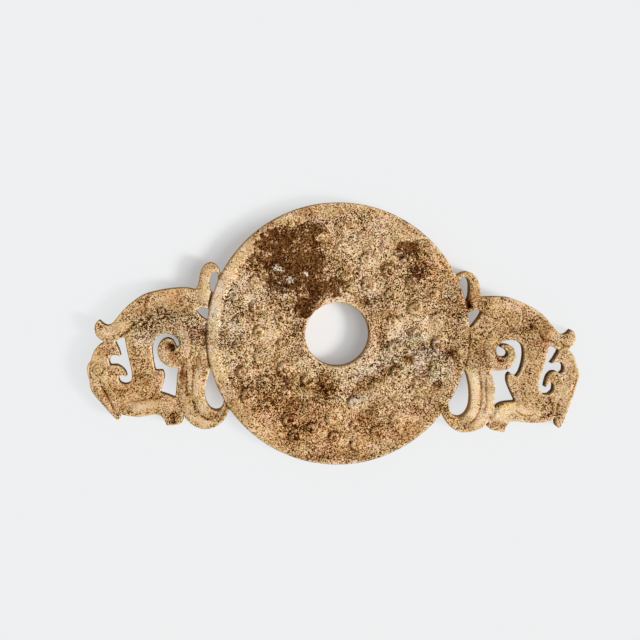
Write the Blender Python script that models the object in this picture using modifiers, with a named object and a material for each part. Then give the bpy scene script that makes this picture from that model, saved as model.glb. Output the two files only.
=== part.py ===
"""A jade plaque carved in one piece: a ring disc covered with grain curls, flanked by two crested beasts
in openwork. It lies on its back, +Z is the front, +X runs along its length, and the origin is under the
middle of its bounding box. Lengths are in millimetres and are turned into metres where objects are made.
"""

import math

import bmesh
import bpy

MM = 0.001

# Driving dimensions
DISC_RADIUS = 39.3
BORE_RADIUS = 9.5
DISC_THICKNESS = 6.0
BEAST_THICKNESS = 5.0
OUTER_RIM_WIDTH = 3.2
INNER_RIM_WIDTH = 2.2
RIM_HEIGHT = 0.55
EDGE_EASING = 0.6
DISC_STEPS = 64
BEAST_SHIFT = 0.2  # the pair of beasts sits this far to the right of the disc

CURL_PITCH = 7.7
CURL_START = (3.8, -4.9)  # the curl nearest the disc's axis
CURL_TURN = math.radians(5.5)
CURL_RADIUS = 2.7
CURL_TOP_RADIUS = 1.2
CURL_HEIGHT = 0.4
CURL_SIDES = 8
CROWDED_RADIUS = 29.0  # past this the rows of curls close up towards the rim
CROWDING = 0.6

EYE_RADIUS = 2.0
EYE_RISE = 0.45

OUTLINE_SPACING = 1.35
ROLL_SPACING = 1.8
ROLL_RISE = 0.45

MID_HEIGHT = DISC_THICKNESS / 2
BEAST_FRONT = MID_HEIGHT + BEAST_THICKNESS / 2
FIELD_FRONT = DISC_THICKNESS - RIM_HEIGHT

# Each beast's outline, as named runs of (out, up) points. "Out" runs away from the disc's centre and "up"
# along +Y, so one list serves both sides. A run is a smooth curve that starts where the run before it
# ended, and two runs meet at a corner. The first run starts at the last run's end.
LEFT_OUTER = {
    "tail_loop": [(35.7, 17.6), (36.2, 19.2), (37.4, 20.5), (39.0, 20.8), (40.6, 19.8), (41.6, 17.8),
                  (41.9, 15.5), (42.3, 13.6), (43.0, 12.5)],
    "back": [(45.5, 13.1), (50.0, 12.8), (54.6, 11.9), (58.2, 10.8), (61.2, 8.8), (64.0, 6.2), (66.4, 3.2),
             (67.6, 1.8), (68.8, 1.4), (70.0, 1.9), (71.3, 3.1)],
    "crest": [(72.3, 1.8), (72.5, 0.2), (71.9, -1.7), (70.6, -2.8), (69.4, -3.5)],
    "crown": [(70.8, -4.1), (72.2, -5.6), (73.1, -7.7), (73.4, -9.1)],
    "brow": [(74.2, -9.8), (74.6, -11.3), (74.3, -13.3), (73.7, -15.2)],
    "beak": [(73.7, -16.7), (73.1, -18.2), (71.4, -20.4), (68.8, -23.3), (66.6, -25.7), (65.4, -26.8)],
    "beak_tip": [(64.6, -26.2), (64.5, -24.9)],
    "belly": [(62.5, -25.4), (59.0, -25.7), (56.0, -25.2), (53.9, -24.8), (52.3, -25.4), (51.4, -26.6),
              (50.9, -28.1)],
    "sole": [(48.5, -28.0), (46.7, -27.6), (45.8, -26.6), (46.1, -24.8)],
    "lobe": [(44.9, -26.2), (43.5, -27.6), (41.5, -28.7), (39.3, -29.1), (36.4, -28.4), (33.9, -26.4),
             (32.6, -23.9), (31.4, -21.2)],
    "strand_end": [(32.4, -19.0)],
    "teardrop": [(34.0, -20.4), (34.2, -21.9), (34.9, -23.0), (36.4, -23.4), (37.8, -22.9), (39.0, -21.3),
                 (39.6, -19.1), (39.5, -16.6), (39.0, -14.1), (38.3, -12.0), (37.8, -10.5)],
    "root": [(36.6, -9.4)],
    "flank": [(37.2, 3.4)],
    "corner_foot": [(39.4, 3.5)],
    "corner_gap": [(40.7, 4.4), (41.9, 5.5), (42.7, 6.6)],
    "corner_top": [(41.6, 7.1), (40.6, 7.3), (39.2, 6.9), (37.0, 6.6)],
    "saddle": [(35.6, 10.6)],
    "slot_foot": [(37.7, 11.4)],
    "slot": [(38.5, 12.5), (38.8, 14.2), (38.7, 16.0), (38.2, 17.5), (37.3, 18.1), (36.5, 17.7),
             (36.3, 16.6), (36.5, 15.4)],
    "loop_root": [(34.6, 14.8)],
    "loop_end": [(34.4, 16.8)],
}
LEFT_MOUTH = {
    "roof": [(65.2, -5.6), (64.6, -7.8)],
    "throat": [(65.7, -7.3), (66.9, -7.3), (67.9, -8.0), (68.1, -9.2), (67.7, -10.3)],
    "tongue_top": [(65.8, -10.1), (64.2, -11.0), (63.1, -12.3), (62.7, -13.8)],
    "hook": [(63.8, -13.2), (64.8, -13.5), (65.3, -14.5), (64.7, -15.5), (63.4, -16.0), (62.0, -15.6),
             (61.3, -14.3), (61.4, -12.0), (62.1, -9.0), (62.9, -5.6), (63.6, -1.8)],
    "top": [(66.4, -3.3)],
}
LEFT_SPIRAL = {
    "sweep": [(47.5, -4.2), (47.5, -3.0), (48.3, -1.8), (49.6, -0.95), (51.2, -0.6), (52.9, -0.9),
              (54.3, -2.0), (55.2, -3.8), (55.4, -6.0), (55.0, -8.8), (54.4, -11.7)],
    "ledge": [(52.1, -11.6)],
    "chest": [(51.6, -13.4), (52.0, -15.8), (52.9, -18.3)],
    "paw_top": [(51.0, -18.8), (48.4, -19.8)],
    "lobe_side": [(48.1, -16.3), (48.0, -13.1), (47.5, -10.9)],
    "curl": [(49.6, -10.7), (51.4, -10.0), (52.9, -8.7), (53.7, -7.0), (53.9, -5.2), (53.4, -3.5),
             (52.2, -2.3), (50.7, -1.9), (49.4, -2.5), (48.7, -3.6), (48.2, -4.9)],
}

# The right beast is cut by another hand: these runs differ, and the others are the left one's.
RIGHT_OUTER = LEFT_OUTER | {
    "tail_loop": [(34.9, 18.5), (36.2, 19.3), (37.8, 19.7), (39.6, 19.2), (40.9, 17.7), (41.7, 15.9),
                  (42.1, 13.7), (42.4, 12.0)],
    "back": [(44.6, 12.2), (49.6, 12.2), (52.4, 11.6), (55.3, 10.5), (58.1, 9.2), (60.6, 7.6), (62.8, 5.5),
             (64.6, 3.4), (66.4, 1.6), (67.9, 1.1), (69.0, 1.7), (70.0, 2.9)],
    "crest": [(71.1, 1.9), (71.5, 0.1), (71.0, -1.6), (69.9, -2.5), (69.4, -3.4)],
    "crown": [(70.5, -4.2), (71.5, -5.9), (72.1, -8.4), (72.8, -9.6)],
    "brow": [(73.1, -10.8), (72.9, -12.0), (72.4, -13.8)],
    "beak": [(71.8, -16.0), (71.0, -18.6), (69.8, -22.4), (68.5, -25.9), (67.3, -27.4)],
    "beak_tip": [(66.4, -26.4), (66.2, -23.9)],
    "belly": [(64.9, -24.9), (62.8, -25.5), (59.6, -25.8), (56.0, -25.5), (53.1, -25.3), (51.9, -25.9),
              (51.2, -27.0), (50.8, -28.8)],
    "sole": [(48.5, -28.4), (46.4, -27.9), (45.5, -27.1), (45.9, -25.4)],
    "lobe": [(44.9, -26.6), (43.7, -27.6), (41.7, -28.4), (38.9, -29.0), (36.4, -28.6), (33.9, -27.0),
             (32.3, -24.6), (31.0, -22.0)],
    "teardrop": [(33.8, -21.2), (34.0, -22.6), (34.9, -23.7), (36.9, -24.3), (38.7, -23.3), (39.8, -21.0),
                 (40.0, -18.1), (39.7, -14.9), (39.0, -12.0), (38.2, -10.1)],
    "corner_foot": [(39.6, 2.9)],
    "corner_gap": [(40.9, 4.6), (41.9, 6.0), (42.7, 7.7)],
    "corner_top": [(41.7, 8.2), (40.7, 8.2), (39.6, 7.6), (37.0, 6.6)],
    "slot_foot": [(37.8, 10.4)],
    "slot": [(38.5, 12.0), (38.7, 14.2), (38.6, 16.2), (38.1, 17.5), (37.1, 18.1), (36.1, 17.7),
             (35.7, 16.6), (35.9, 15.4)],
    "loop_end": [(33.6, 17.2)],
}
RIGHT_MOUTH = {
    "roof": [(65.3, -5.9), (64.0, -7.7)],
    "throat": [(65.6, -7.1), (67.3, -7.2), (68.1, -8.4), (68.0, -9.8), (67.2, -10.6)],
    "tongue_top": [(65.9, -9.8), (64.5, -10.0), (63.4, -11.2), (62.8, -13.2), (62.5, -15.0)],
    "hook": [(63.6, -14.0), (64.6, -13.2), (65.3, -14.2), (65.1, -15.9), (63.9, -17.0), (62.1, -17.0),
             (60.9, -15.7), (60.8, -13.4), (61.6, -10.0), (62.4, -7.4), (63.0, -4.5), (63.6, -2.2)],
    "top": [(66.5, -3.5)],
}
RIGHT_SPIRAL = {
    "drill": [(49.8, -3.4), (50.9, -4.4), (50.9, -5.4), (50.1, -6.0), (48.6, -5.8), (47.6, -4.8),
              (47.4, -3.3), (48.1, -2.0), (49.5, -1.0), (51.5, -0.7), (53.8, -1.0), (55.3, -2.2),
              (55.8, -4.4), (55.6, -7.5), (54.7, -10.6), (53.8, -11.8), (52.7, -11.1), (51.8, -10.4)],
    "chest": [(51.0, -11.5), (51.0, -13.1), (51.7, -15.2), (53.8, -19.3)],
    "paw_top": [(51.2, -19.5), (49.0, -20.1), (47.5, -21.5)],
    "lobe_side": [(47.3, -19.4), (47.5, -16.6), (47.3, -14.4), (46.1, -10.1)],
    "curl": [(48.1, -10.0), (50.3, -9.8), (52.1, -8.8), (53.1, -7.4), (53.5, -5.6), (53.2, -3.9),
             (52.3, -2.7), (51.0, -2.1), (49.4, -2.0), (48.6, -2.5), (48.7, -3.2)],
}

# Rounded bands that stand proud of a beast's front: (half width, centreline)
LEFT_ROLLS = {
    "tail": (1.0, [(40.6, 8.6), (40.5, 12.0), (40.2, 15.6), (39.6, 17.8), (38.4, 19.2)]),
    "nape": (0.7, [(54.6, 10.4), (56.4, 8.8), (57.2, 6.2), (56.6, 3.2)]),
    "crest": (0.9, [(71.1, 0.9), (70.2, -0.7), (68.2, -0.7), (65.6, 0.9), (62.6, 2.9)]),
    "spiral": (1.0, [(50.7, -3.4), (52.1, -4.8), (52.0, -6.6), (50.7, -8.3), (48.4, -8.9), (46.3, -7.6),
                     (45.3, -5.0), (45.7, -2.0), (47.0, 0.6), (49.6, 2.0)]),
    "beak": (0.8, [(71.8, -16.8), (70.4, -19.4), (68.6, -21.8), (66.8, -24.0)]),
    "leg": (1.2, [(61.6, -23.4), (57.6, -22.8), (53.6, -21.6), (50.6, -21.8), (48.7, -24.6)]),
    "outer_strand": (1.1, [(46.0, -12.4), (46.1, -16.4), (45.6, -20.4), (43.6, -24.8), (40.0, -27.0),
                           (36.4, -26.2)]),
    "inner_strand": (0.9, [(41.2, -8.4), (41.6, -13.2), (41.6, -18.4), (40.4, -22.8), (37.8, -25.0)]),
}
RIGHT_ROLLS = LEFT_ROLLS | {
    "tail": (0.8, [(40.4, 8.8), (40.4, 12.2), (40.2, 15.2), (39.4, 17.6)]),
    "nape": (0.7, [(53.4, 10.0), (54.6, 8.2), (54.8, 5.6), (54.0, 3.2)]),
    "crest": (0.8, [(70.0, 0.9), (69.4, -0.6), (67.6, -0.9), (65.2, 0.6), (62.6, 2.6)]),
    "spiral": (0.8, [(50.4, -3.2), (52.0, -4.4), (52.1, -6.4), (50.8, -8.1), (48.6, -8.6), (46.4, -7.4),
                     (45.4, -4.8), (45.7, -1.8), (47.0, 0.6), (49.6, 2.0)]),
    "beak": (0.8, [(71.0, -16.8), (70.0, -19.6), (68.8, -22.6), (67.8, -24.8)]),
}


def clear_scene():
    for obj in list(bpy.data.objects):
        bpy.data.objects.remove(obj, do_unlink=True)


def new_collection(name):
    collection = bpy.data.collections.new(name)
    bpy.context.scene.collection.children.link(collection)
    return collection


def make_jade():
    """Weathered jade: calcified to a warm buff, with little polish left."""
    material = bpy.data.materials.new("weathered_jade")
    material.use_nodes = True
    shader = material.node_tree.nodes["Principled BSDF"]
    shader.inputs["Base Color"].default_value = (0.50, 0.35, 0.19, 1.0)
    shader.inputs["Roughness"].default_value = 0.62
    shader.inputs["Metallic"].default_value = 0.0
    return material


def spline_point(p0, p1, p2, p3, share):
    """A point of the Catmull-Rom curve between p1 and p2, at a share from 0 to 1 of the way."""
    s, s2, s3 = share, share * share, share**3
    return tuple(
        0.5 * (2 * b + (c - a) * s + (2 * a - 5 * b + 4 * c - d) * s2 + (3 * b - a - 3 * c + d) * s3)
        for a, b, c, d in zip(p0, p1, p2, p3)
    )


def smooth_run(points, spacing):
    """Points along the smooth curve through the given ones, about spacing apart."""
    padded = [points[0], *points, points[-1]]
    made = []
    for p0, p1, p2, p3 in zip(padded, padded[1:], padded[2:], padded[3:]):
        steps = max(1, round(math.dist(p1, p2) / spacing))
        made += [spline_point(p0, p1, p2, p3, i / steps) for i in range(steps)]
    return [*made, points[-1]]


def closed_outline(runs):
    """The points of a closed outline whose runs meet at corners."""
    start = list(runs.values())[-1][-1]
    made = []
    for run in runs.values():
        made += smooth_run([start, *run], OUTLINE_SPACING)[:-1]
        start = run[-1]
    return made


def reach(runs):
    """How far an outline runs out."""
    return max(out for out, up in closed_outline(runs))


def link(obj, collection, material):
    collection.objects.link(obj)
    obj.data.materials.append(material)
    return obj


def as_helper(obj):
    """Marks an object as one that only shapes another."""
    obj.hide_render = True
    obj.display_type = "WIRE"
    return obj


def add_spline(curve, points, closed, widths=None):
    spline = curve.splines.new("POLY")
    spline.points.add(len(points) - 1)
    for point, place in zip(spline.points, points):
        point.co = (*[value * MM for value in place], 1.0)
    for point, width in zip(spline.points, widths or []):
        point.radius = width
    spline.use_cyclic_u = closed


def mesh_from_curve(curve_object, collection, material):
    """Replaces a curve object by a closed mesh object of the same name and place."""
    bpy.context.view_layer.update()
    evaluated = curve_object.evaluated_get(bpy.context.evaluated_depsgraph_get())
    mesh = bpy.data.meshes.new_from_object(evaluated)
    name = curve_object.name
    place = curve_object.matrix_world.copy()
    bpy.data.objects.remove(curve_object, do_unlink=True)
    tidy = bmesh.new()
    tidy.from_mesh(mesh)
    bmesh.ops.remove_doubles(tidy, verts=tidy.verts, dist=1e-6)
    bmesh.ops.recalc_face_normals(tidy, faces=tidy.faces)
    tidy.to_mesh(mesh)
    tidy.free()
    mesh.materials.clear()
    obj = bpy.data.objects.new(name, mesh)
    obj.matrix_world = place
    return link(obj, collection, material)


def make_plate(name, outlines, side, centre_x, collection, material):
    """A flat plate of a beast's thickness with eased edges: its rim, then its holes."""
    curve = bpy.data.curves.new(name, "CURVE")
    curve.dimensions = "2D"
    curve.fill_mode = "BOTH"
    curve.extrude = (BEAST_THICKNESS / 2 - EDGE_EASING) * MM
    curve.bevel_depth = EDGE_EASING * MM
    curve.bevel_resolution = 0
    curve.offset = -EDGE_EASING * MM
    for runs in outlines:
        add_spline(curve, [(side * out, up, 0.0) for out, up in closed_outline(runs)], True)
    obj = bpy.data.objects.new(name, curve)
    collection.objects.link(obj)
    obj.location = (centre_x * MM, 0.0, MID_HEIGHT * MM)
    return mesh_from_curve(obj, collection, material)


def make_roll(name, half_width, centreline, side, centre_x, collection, material):
    """A tube sunk in a beast's front, so that a band of it stands proud. Both its ends sink away."""
    radius = (half_width**2 + ROLL_RISE**2) / (2 * ROLL_RISE)
    depth = BEAST_FRONT + ROLL_RISE - radius
    curve = bpy.data.curves.new(name, "CURVE")
    curve.dimensions = "3D"
    curve.bevel_depth = radius * MM
    curve.bevel_resolution = 4
    curve.use_fill_caps = True
    points = smooth_run([(side * out, up) for out, up in centreline], ROLL_SPACING)
    end_width = 1 - ROLL_RISE / radius
    widths = [end_width, *[1.0] * (len(points) - 2), end_width]
    add_spline(curve, [(x, y, depth) for x, y in points], False, widths)
    obj = bpy.data.objects.new(name, curve)
    collection.objects.link(obj)
    obj.location.x = centre_x * MM
    return mesh_from_curve(obj, collection, material)


def make_eye(name, place, side, centre_x, collection, material):
    """A low dome for a beast's eye."""
    shape = bmesh.new()
    bmesh.ops.create_uvsphere(shape, u_segments=12, v_segments=8, radius=EYE_RADIUS * MM)
    mesh = bpy.data.meshes.new(name)
    shape.to_mesh(mesh)
    shape.free()
    obj = bpy.data.objects.new(name, mesh)
    out, up = place
    obj.location = ((centre_x + side * out) * MM, up * MM, (BEAST_FRONT + EYE_RISE - EYE_RADIUS) * MM)
    return link(obj, collection, material)


def disc_profile():
    """The disc's section as (radius, height) points: down the outer edge, in under the back, up the bore."""
    ease = EDGE_EASING
    back = [
        (DISC_RADIUS - ease, 0.0),
        (DISC_RADIUS - OUTER_RIM_WIDTH, 0.0),
        (DISC_RADIUS - OUTER_RIM_WIDTH - RIM_HEIGHT, RIM_HEIGHT),
        (BORE_RADIUS + INNER_RIM_WIDTH + RIM_HEIGHT, RIM_HEIGHT),
        (BORE_RADIUS + INNER_RIM_WIDTH, 0.0),
        (BORE_RADIUS + ease, 0.0),
    ]
    front = [(radius, DISC_THICKNESS - height) for radius, height in reversed(back)]
    edge = [(DISC_RADIUS, DISC_THICKNESS - ease), (DISC_RADIUS, ease)]
    bore = [(BORE_RADIUS, ease), (BORE_RADIUS, DISC_THICKNESS - ease)]
    return [*edge, *back, *bore, *front]


def make_disc(name, centre_x, collection, material):
    """The ring disc: its section turned about its own axis."""
    points = [(radius * MM, 0.0, height * MM) for radius, height in disc_profile()]
    count = len(points)
    mesh = bpy.data.meshes.new(name)
    mesh.from_pydata(points, [(i, (i + 1) % count) for i in range(count)], [])
    obj = bpy.data.objects.new(name, mesh)
    obj.location.x = centre_x * MM
    turn = obj.modifiers.new("turn", "SCREW")
    turn.axis = "Z"
    turn.steps = DISC_STEPS
    turn.render_steps = DISC_STEPS
    turn.use_merge_vertices = True
    turn.merge_threshold = 0.00001
    return link(obj, collection, material)


def curl_places():
    """The curls' centres on the disc: a triangular grid, crowded together where it nears the outer rim."""
    nearest = BORE_RADIUS + INNER_RIM_WIDTH + CURL_RADIUS
    farthest = DISC_RADIUS - OUTER_RIM_WIDTH - CURL_RADIUS
    rings = math.ceil(DISC_RADIUS / CURL_PITCH) + 1
    places = []
    for row in range(-rings, rings + 1):
        for step in range(-2 * rings, 2 * rings + 1):
            along = (step + row / 2) * CURL_PITCH
            across = row * CURL_PITCH * math.sin(math.radians(60))
            x = CURL_START[0] - across * math.cos(CURL_TURN) - along * math.sin(CURL_TURN)
            y = CURL_START[1] - across * math.sin(CURL_TURN) + along * math.cos(CURL_TURN)
            radius = math.hypot(x, y)
            drawn_in = radius - max(0.0, radius - CROWDED_RADIUS) * (1 - CROWDING)
            if nearest <= radius and drawn_in <= farthest:
                places.append((x * drawn_in / radius, y * drawn_in / radius))
    return places


def make_curls(name, centre_x, collection, material):
    """The grain curls as low bosses sunk in the disc's field."""
    shape = bmesh.new()
    height = 2 * CURL_HEIGHT
    for x, y in curl_places():
        made = bmesh.ops.create_cone(
            shape, cap_ends=True, segments=CURL_SIDES, radius1=CURL_RADIUS * MM,
            radius2=CURL_TOP_RADIUS * MM, depth=height * MM,
        )
        place = (x * MM, y * MM, FIELD_FRONT * MM)
        bmesh.ops.translate(shape, verts=made["verts"], vec=place)
    mesh = bpy.data.meshes.new(name)
    shape.to_mesh(mesh)
    shape.free()
    obj = bpy.data.objects.new(name, mesh)
    obj.location.x = centre_x * MM
    return link(obj, collection, material)


def join_on(body, helper):
    """Makes a helper part of the body."""
    union = body.modifiers.new(helper.name, "BOOLEAN")
    union.operation = "UNION"
    union.object = as_helper(helper)


def main():
    clear_scene()
    model = new_collection("jade_plaque_model")
    helpers = new_collection("carving_helpers")
    jade = make_jade()

    # The box's middle is the origin, so the disc stands a little off it: the two beasts reach unequally far.
    beasts_x = (reach(LEFT_OUTER) - reach(RIGHT_OUTER)) / 2
    disc_x = beasts_x - BEAST_SHIFT

    plaque = make_disc("jade_plaque", disc_x, model, jade)
    join_on(plaque, make_curls("curls", disc_x, helpers, jade))
    beasts = {
        "left": (-1, [LEFT_OUTER, LEFT_MOUTH, LEFT_SPIRAL], LEFT_ROLLS, (71.4, -11.5)),
        "right": (1, [RIGHT_OUTER, RIGHT_MOUTH, RIGHT_SPIRAL], RIGHT_ROLLS, (70.6, -11.9)),
    }
    for name, (side, outlines, rolls, eye) in beasts.items():
        join_on(plaque, make_plate(f"{name}_beast", outlines, side, beasts_x, helpers, jade))
        join_on(plaque, make_eye(f"{name}_eye", eye, side, beasts_x, helpers, jade))
        for part, (half_width, centreline) in rolls.items():
            roll = make_roll(f"{name}_{part}", half_width, centreline, side, beasts_x, helpers, jade)
            join_on(plaque, roll)


main()
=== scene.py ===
"""The looks of a weathered jade plaque: a ring disc covered with grain curls between two crested beasts.

The plaque lies on its back: +Z is the carved front and +X runs along its length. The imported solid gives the
outline, the sizes and the place. The stone's surface is worked out here in millimetres, as one closed skin:
a front and a back, each a height over the outline, and a wall between them. Fields such as grime, stain and
wear are worked out with the same functions, so the material follows the carving.
"""

import logging
import math
from dataclasses import dataclass, field
from enum import Enum

import bpy
import numpy as np
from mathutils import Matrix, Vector
from mathutils.geometry import delaunay_2d_cdt


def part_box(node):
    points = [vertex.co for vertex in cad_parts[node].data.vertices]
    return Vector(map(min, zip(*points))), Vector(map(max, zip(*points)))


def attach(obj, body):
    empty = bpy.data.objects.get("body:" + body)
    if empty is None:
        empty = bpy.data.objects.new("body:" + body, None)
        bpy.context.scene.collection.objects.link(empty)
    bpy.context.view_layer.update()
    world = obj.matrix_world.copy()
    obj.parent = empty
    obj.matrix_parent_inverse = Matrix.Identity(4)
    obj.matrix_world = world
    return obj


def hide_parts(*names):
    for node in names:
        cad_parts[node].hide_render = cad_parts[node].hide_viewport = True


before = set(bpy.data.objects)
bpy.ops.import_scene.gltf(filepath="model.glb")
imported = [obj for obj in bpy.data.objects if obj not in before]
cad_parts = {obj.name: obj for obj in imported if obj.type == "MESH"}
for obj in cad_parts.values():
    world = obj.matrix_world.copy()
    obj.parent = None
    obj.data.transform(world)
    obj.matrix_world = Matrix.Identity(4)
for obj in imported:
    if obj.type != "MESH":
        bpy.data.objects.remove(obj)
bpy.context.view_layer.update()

LOG = logging.getLogger("jade_plaque")
MM = 0.001
NODE = "jade_plaque"
BODY = "root"

Points = list[tuple[float, float]]
Fields = dict[str, np.ndarray]
Socket = bpy.types.NodeSocket
Colour = tuple[float, float, float]
Place = tuple[float, float, float]
BEAST_SHIFT = 0.2  # mm: the pair of beasts sits this far to the right of the disc


# ---------------------------------------------------------------------------------------------------------
# Shared arithmetic
# ---------------------------------------------------------------------------------------------------------

def smooth_step(low: float, high: float, value: np.ndarray) -> np.ndarray:
    """0 below low, 1 above high, and 3t^2 - 2t^3 between them."""
    t = np.clip((value - low) / (high - low), 0.0, 1.0)
    return t * t * (3.0 - 2.0 * t)


def screen(first: np.ndarray, second: np.ndarray) -> np.ndarray:
    """Joins two shares so that neither passes 1: 1 - (1 - a)(1 - b)."""
    return 1.0 - (1.0 - first) * (1.0 - second)


class SmoothNoise:
    """Seeded value noise: random numbers from -1 to 1 on a repeating grid, joined by smooth steps."""

    def __init__(self, seed: int, cells: int = 256) -> None:
        """Draws the grid's numbers.

        Args:
            seed: what the random draw starts from.
            cells: how many grid cells pass before the noise repeats.
        """
        self.cells = cells
        self.values = np.random.default_rng(seed).random((cells, cells)) * 2.0 - 1.0

    def at(self, x: np.ndarray, y: np.ndarray, size: float) -> np.ndarray:
        """The noise at each point, with grid cells of the given size."""
        across, up = np.asarray(x) / size, np.asarray(y) / size
        column, row = np.floor(across).astype(int), np.floor(up).astype(int)
        s = smooth_step(0.0, 1.0, across - column)
        t = smooth_step(0.0, 1.0, up - row)
        near = self.values[column % self.cells, row % self.cells]
        right = self.values[(column + 1) % self.cells, row % self.cells]
        above = self.values[column % self.cells, (row + 1) % self.cells]
        far = self.values[(column + 1) % self.cells, (row + 1) % self.cells]
        return (near * (1 - s) + right * s) * (1 - t) + (above * (1 - s) + far * s) * t

    def fractal(self, x: np.ndarray, y: np.ndarray, size: float, octaves: int = 3) -> np.ndarray:
        """Sum of noises, each half the size and half the strength of the one before."""
        total = np.zeros(np.shape(x))
        for octave in range(octaves):
            shift = 17.3 * octave
            total = total + self.at(x + shift, y - shift, size / 2**octave) / 2**octave
        return total / (2.0 - 2.0 ** (1 - octaves))


def smooth_curve(points: Points, per_span: int = 8) -> np.ndarray:
    """A Catmull-Rom curve through the points, as an array of places on it."""
    p = np.array(points, float)
    padded = np.vstack([2 * p[0] - p[1], p, 2 * p[-1] - p[-2]])
    a, b, c, d = padded[:-3, None], padded[1:-2, None], padded[2:-1, None], padded[3:, None]
    t = np.linspace(0.0, 1.0, per_span, endpoint=False)[None, :, None]
    run = 0.5 * (2 * b + (c - a) * t + (2 * a - 5 * b + 4 * c - d) * t**2 + (3 * b - a - 3 * c + d) * t**3)
    return np.vstack([run.reshape(-1, 2), p[-1:]])


def nearest_on_path(points: np.ndarray, path: np.ndarray) -> tuple[np.ndarray, np.ndarray]:
    """How far each point is from a path, and how far along the path that nearest place lies.

    Args:
        points: (count, 2) places.
        path: (corners, 2) the path's corners in order.

    Returns:
        The distances, and the shares of the path's length from 0 to 1.
    """
    start, end = path[:-1], path[1:]
    span = end - start
    length = np.hypot(span[:, 0], span[:, 1])
    before = np.concatenate([[0.0], np.cumsum(length)])
    offset = points[:, None, :] - start[None]
    share = np.clip((offset * span).sum(2) / np.maximum(length**2, 1e-12), 0.0, 1.0)
    gap = offset - share[..., None] * span
    apart = (gap**2).sum(2)
    best = apart.argmin(1)
    rows = np.arange(len(points))
    along = (before[best] + share[rows, best] * length[best]) / before[-1]
    return np.sqrt(apart[rows, best]), along


# ---------------------------------------------------------------------------------------------------------
# The outline, read from the frame
# ---------------------------------------------------------------------------------------------------------

@dataclass
class Disc:
    """The ring disc's sizes, in millimetres, and the places of its grain curls."""

    centre_x: float = 0.55
    radius: float = 39.3
    bore_radius: float = 9.5
    bore_drift: float = -0.4
    bore_ease: float = 6.0
    outer_rim: float = 3.2
    inner_rim: float = 2.2
    rim_worn: float = 0.3
    curl_pitch: float = 7.7
    curl_start: tuple[float, float] = (3.8, -4.9)
    curl_turn: float = math.radians(5.5)
    curl_reach: float = 2.7
    crowded_radius: float = 29.0
    crowding: float = 0.6

    def polar(self, x: np.ndarray, y: np.ndarray) -> tuple[np.ndarray, np.ndarray]:
        """Distance from the disc's axis, and the angle round it from +X."""
        return np.hypot(x - self.centre_x, y), np.arctan2(y, x - self.centre_x)

    def drift(self, x: np.ndarray, y: np.ndarray) -> np.ndarray:
        """How far along X the stone by the bore moves: it was drilled a little off the centre."""
        r, _ = self.polar(x, y)
        return self.bore_drift * (1.0 - smooth_step(self.bore_radius, self.bore_radius + self.bore_ease, r))

    def rim_clearness(self, angle: np.ndarray) -> np.ndarray:
        """How clearly the outer rim still stands: in full towards -X, and worn low elsewhere."""
        return self.rim_worn + (1.0 - self.rim_worn) * smooth_step(0.1, 0.8, -np.cos(angle))

    def curl_places(self) -> np.ndarray:
        """The curls' centres: a triangular grid, drawn together where it nears the outer rim."""
        rings = math.ceil(self.radius / self.curl_pitch) + 1
        row, step = np.mgrid[-rings:rings + 1, -2 * rings:2 * rings + 1]
        along = (step + row / 2) * self.curl_pitch
        across = row * self.curl_pitch * math.sin(math.radians(60))
        x = self.curl_start[0] - across * math.cos(self.curl_turn) - along * math.sin(self.curl_turn)
        y = self.curl_start[1] - across * math.sin(self.curl_turn) + along * math.cos(self.curl_turn)
        radius = np.hypot(x, y)
        drawn_in = radius - np.maximum(0.0, radius - self.crowded_radius) * (1 - self.crowding)
        kept = radius >= self.bore_radius + self.inner_rim + self.curl_reach
        kept &= drawn_in <= self.radius - self.outer_rim - self.curl_reach
        pull = drawn_in[kept] / radius[kept]
        return np.stack([x[kept] * pull + self.centre_x, y[kept] * pull], axis=1)


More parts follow.
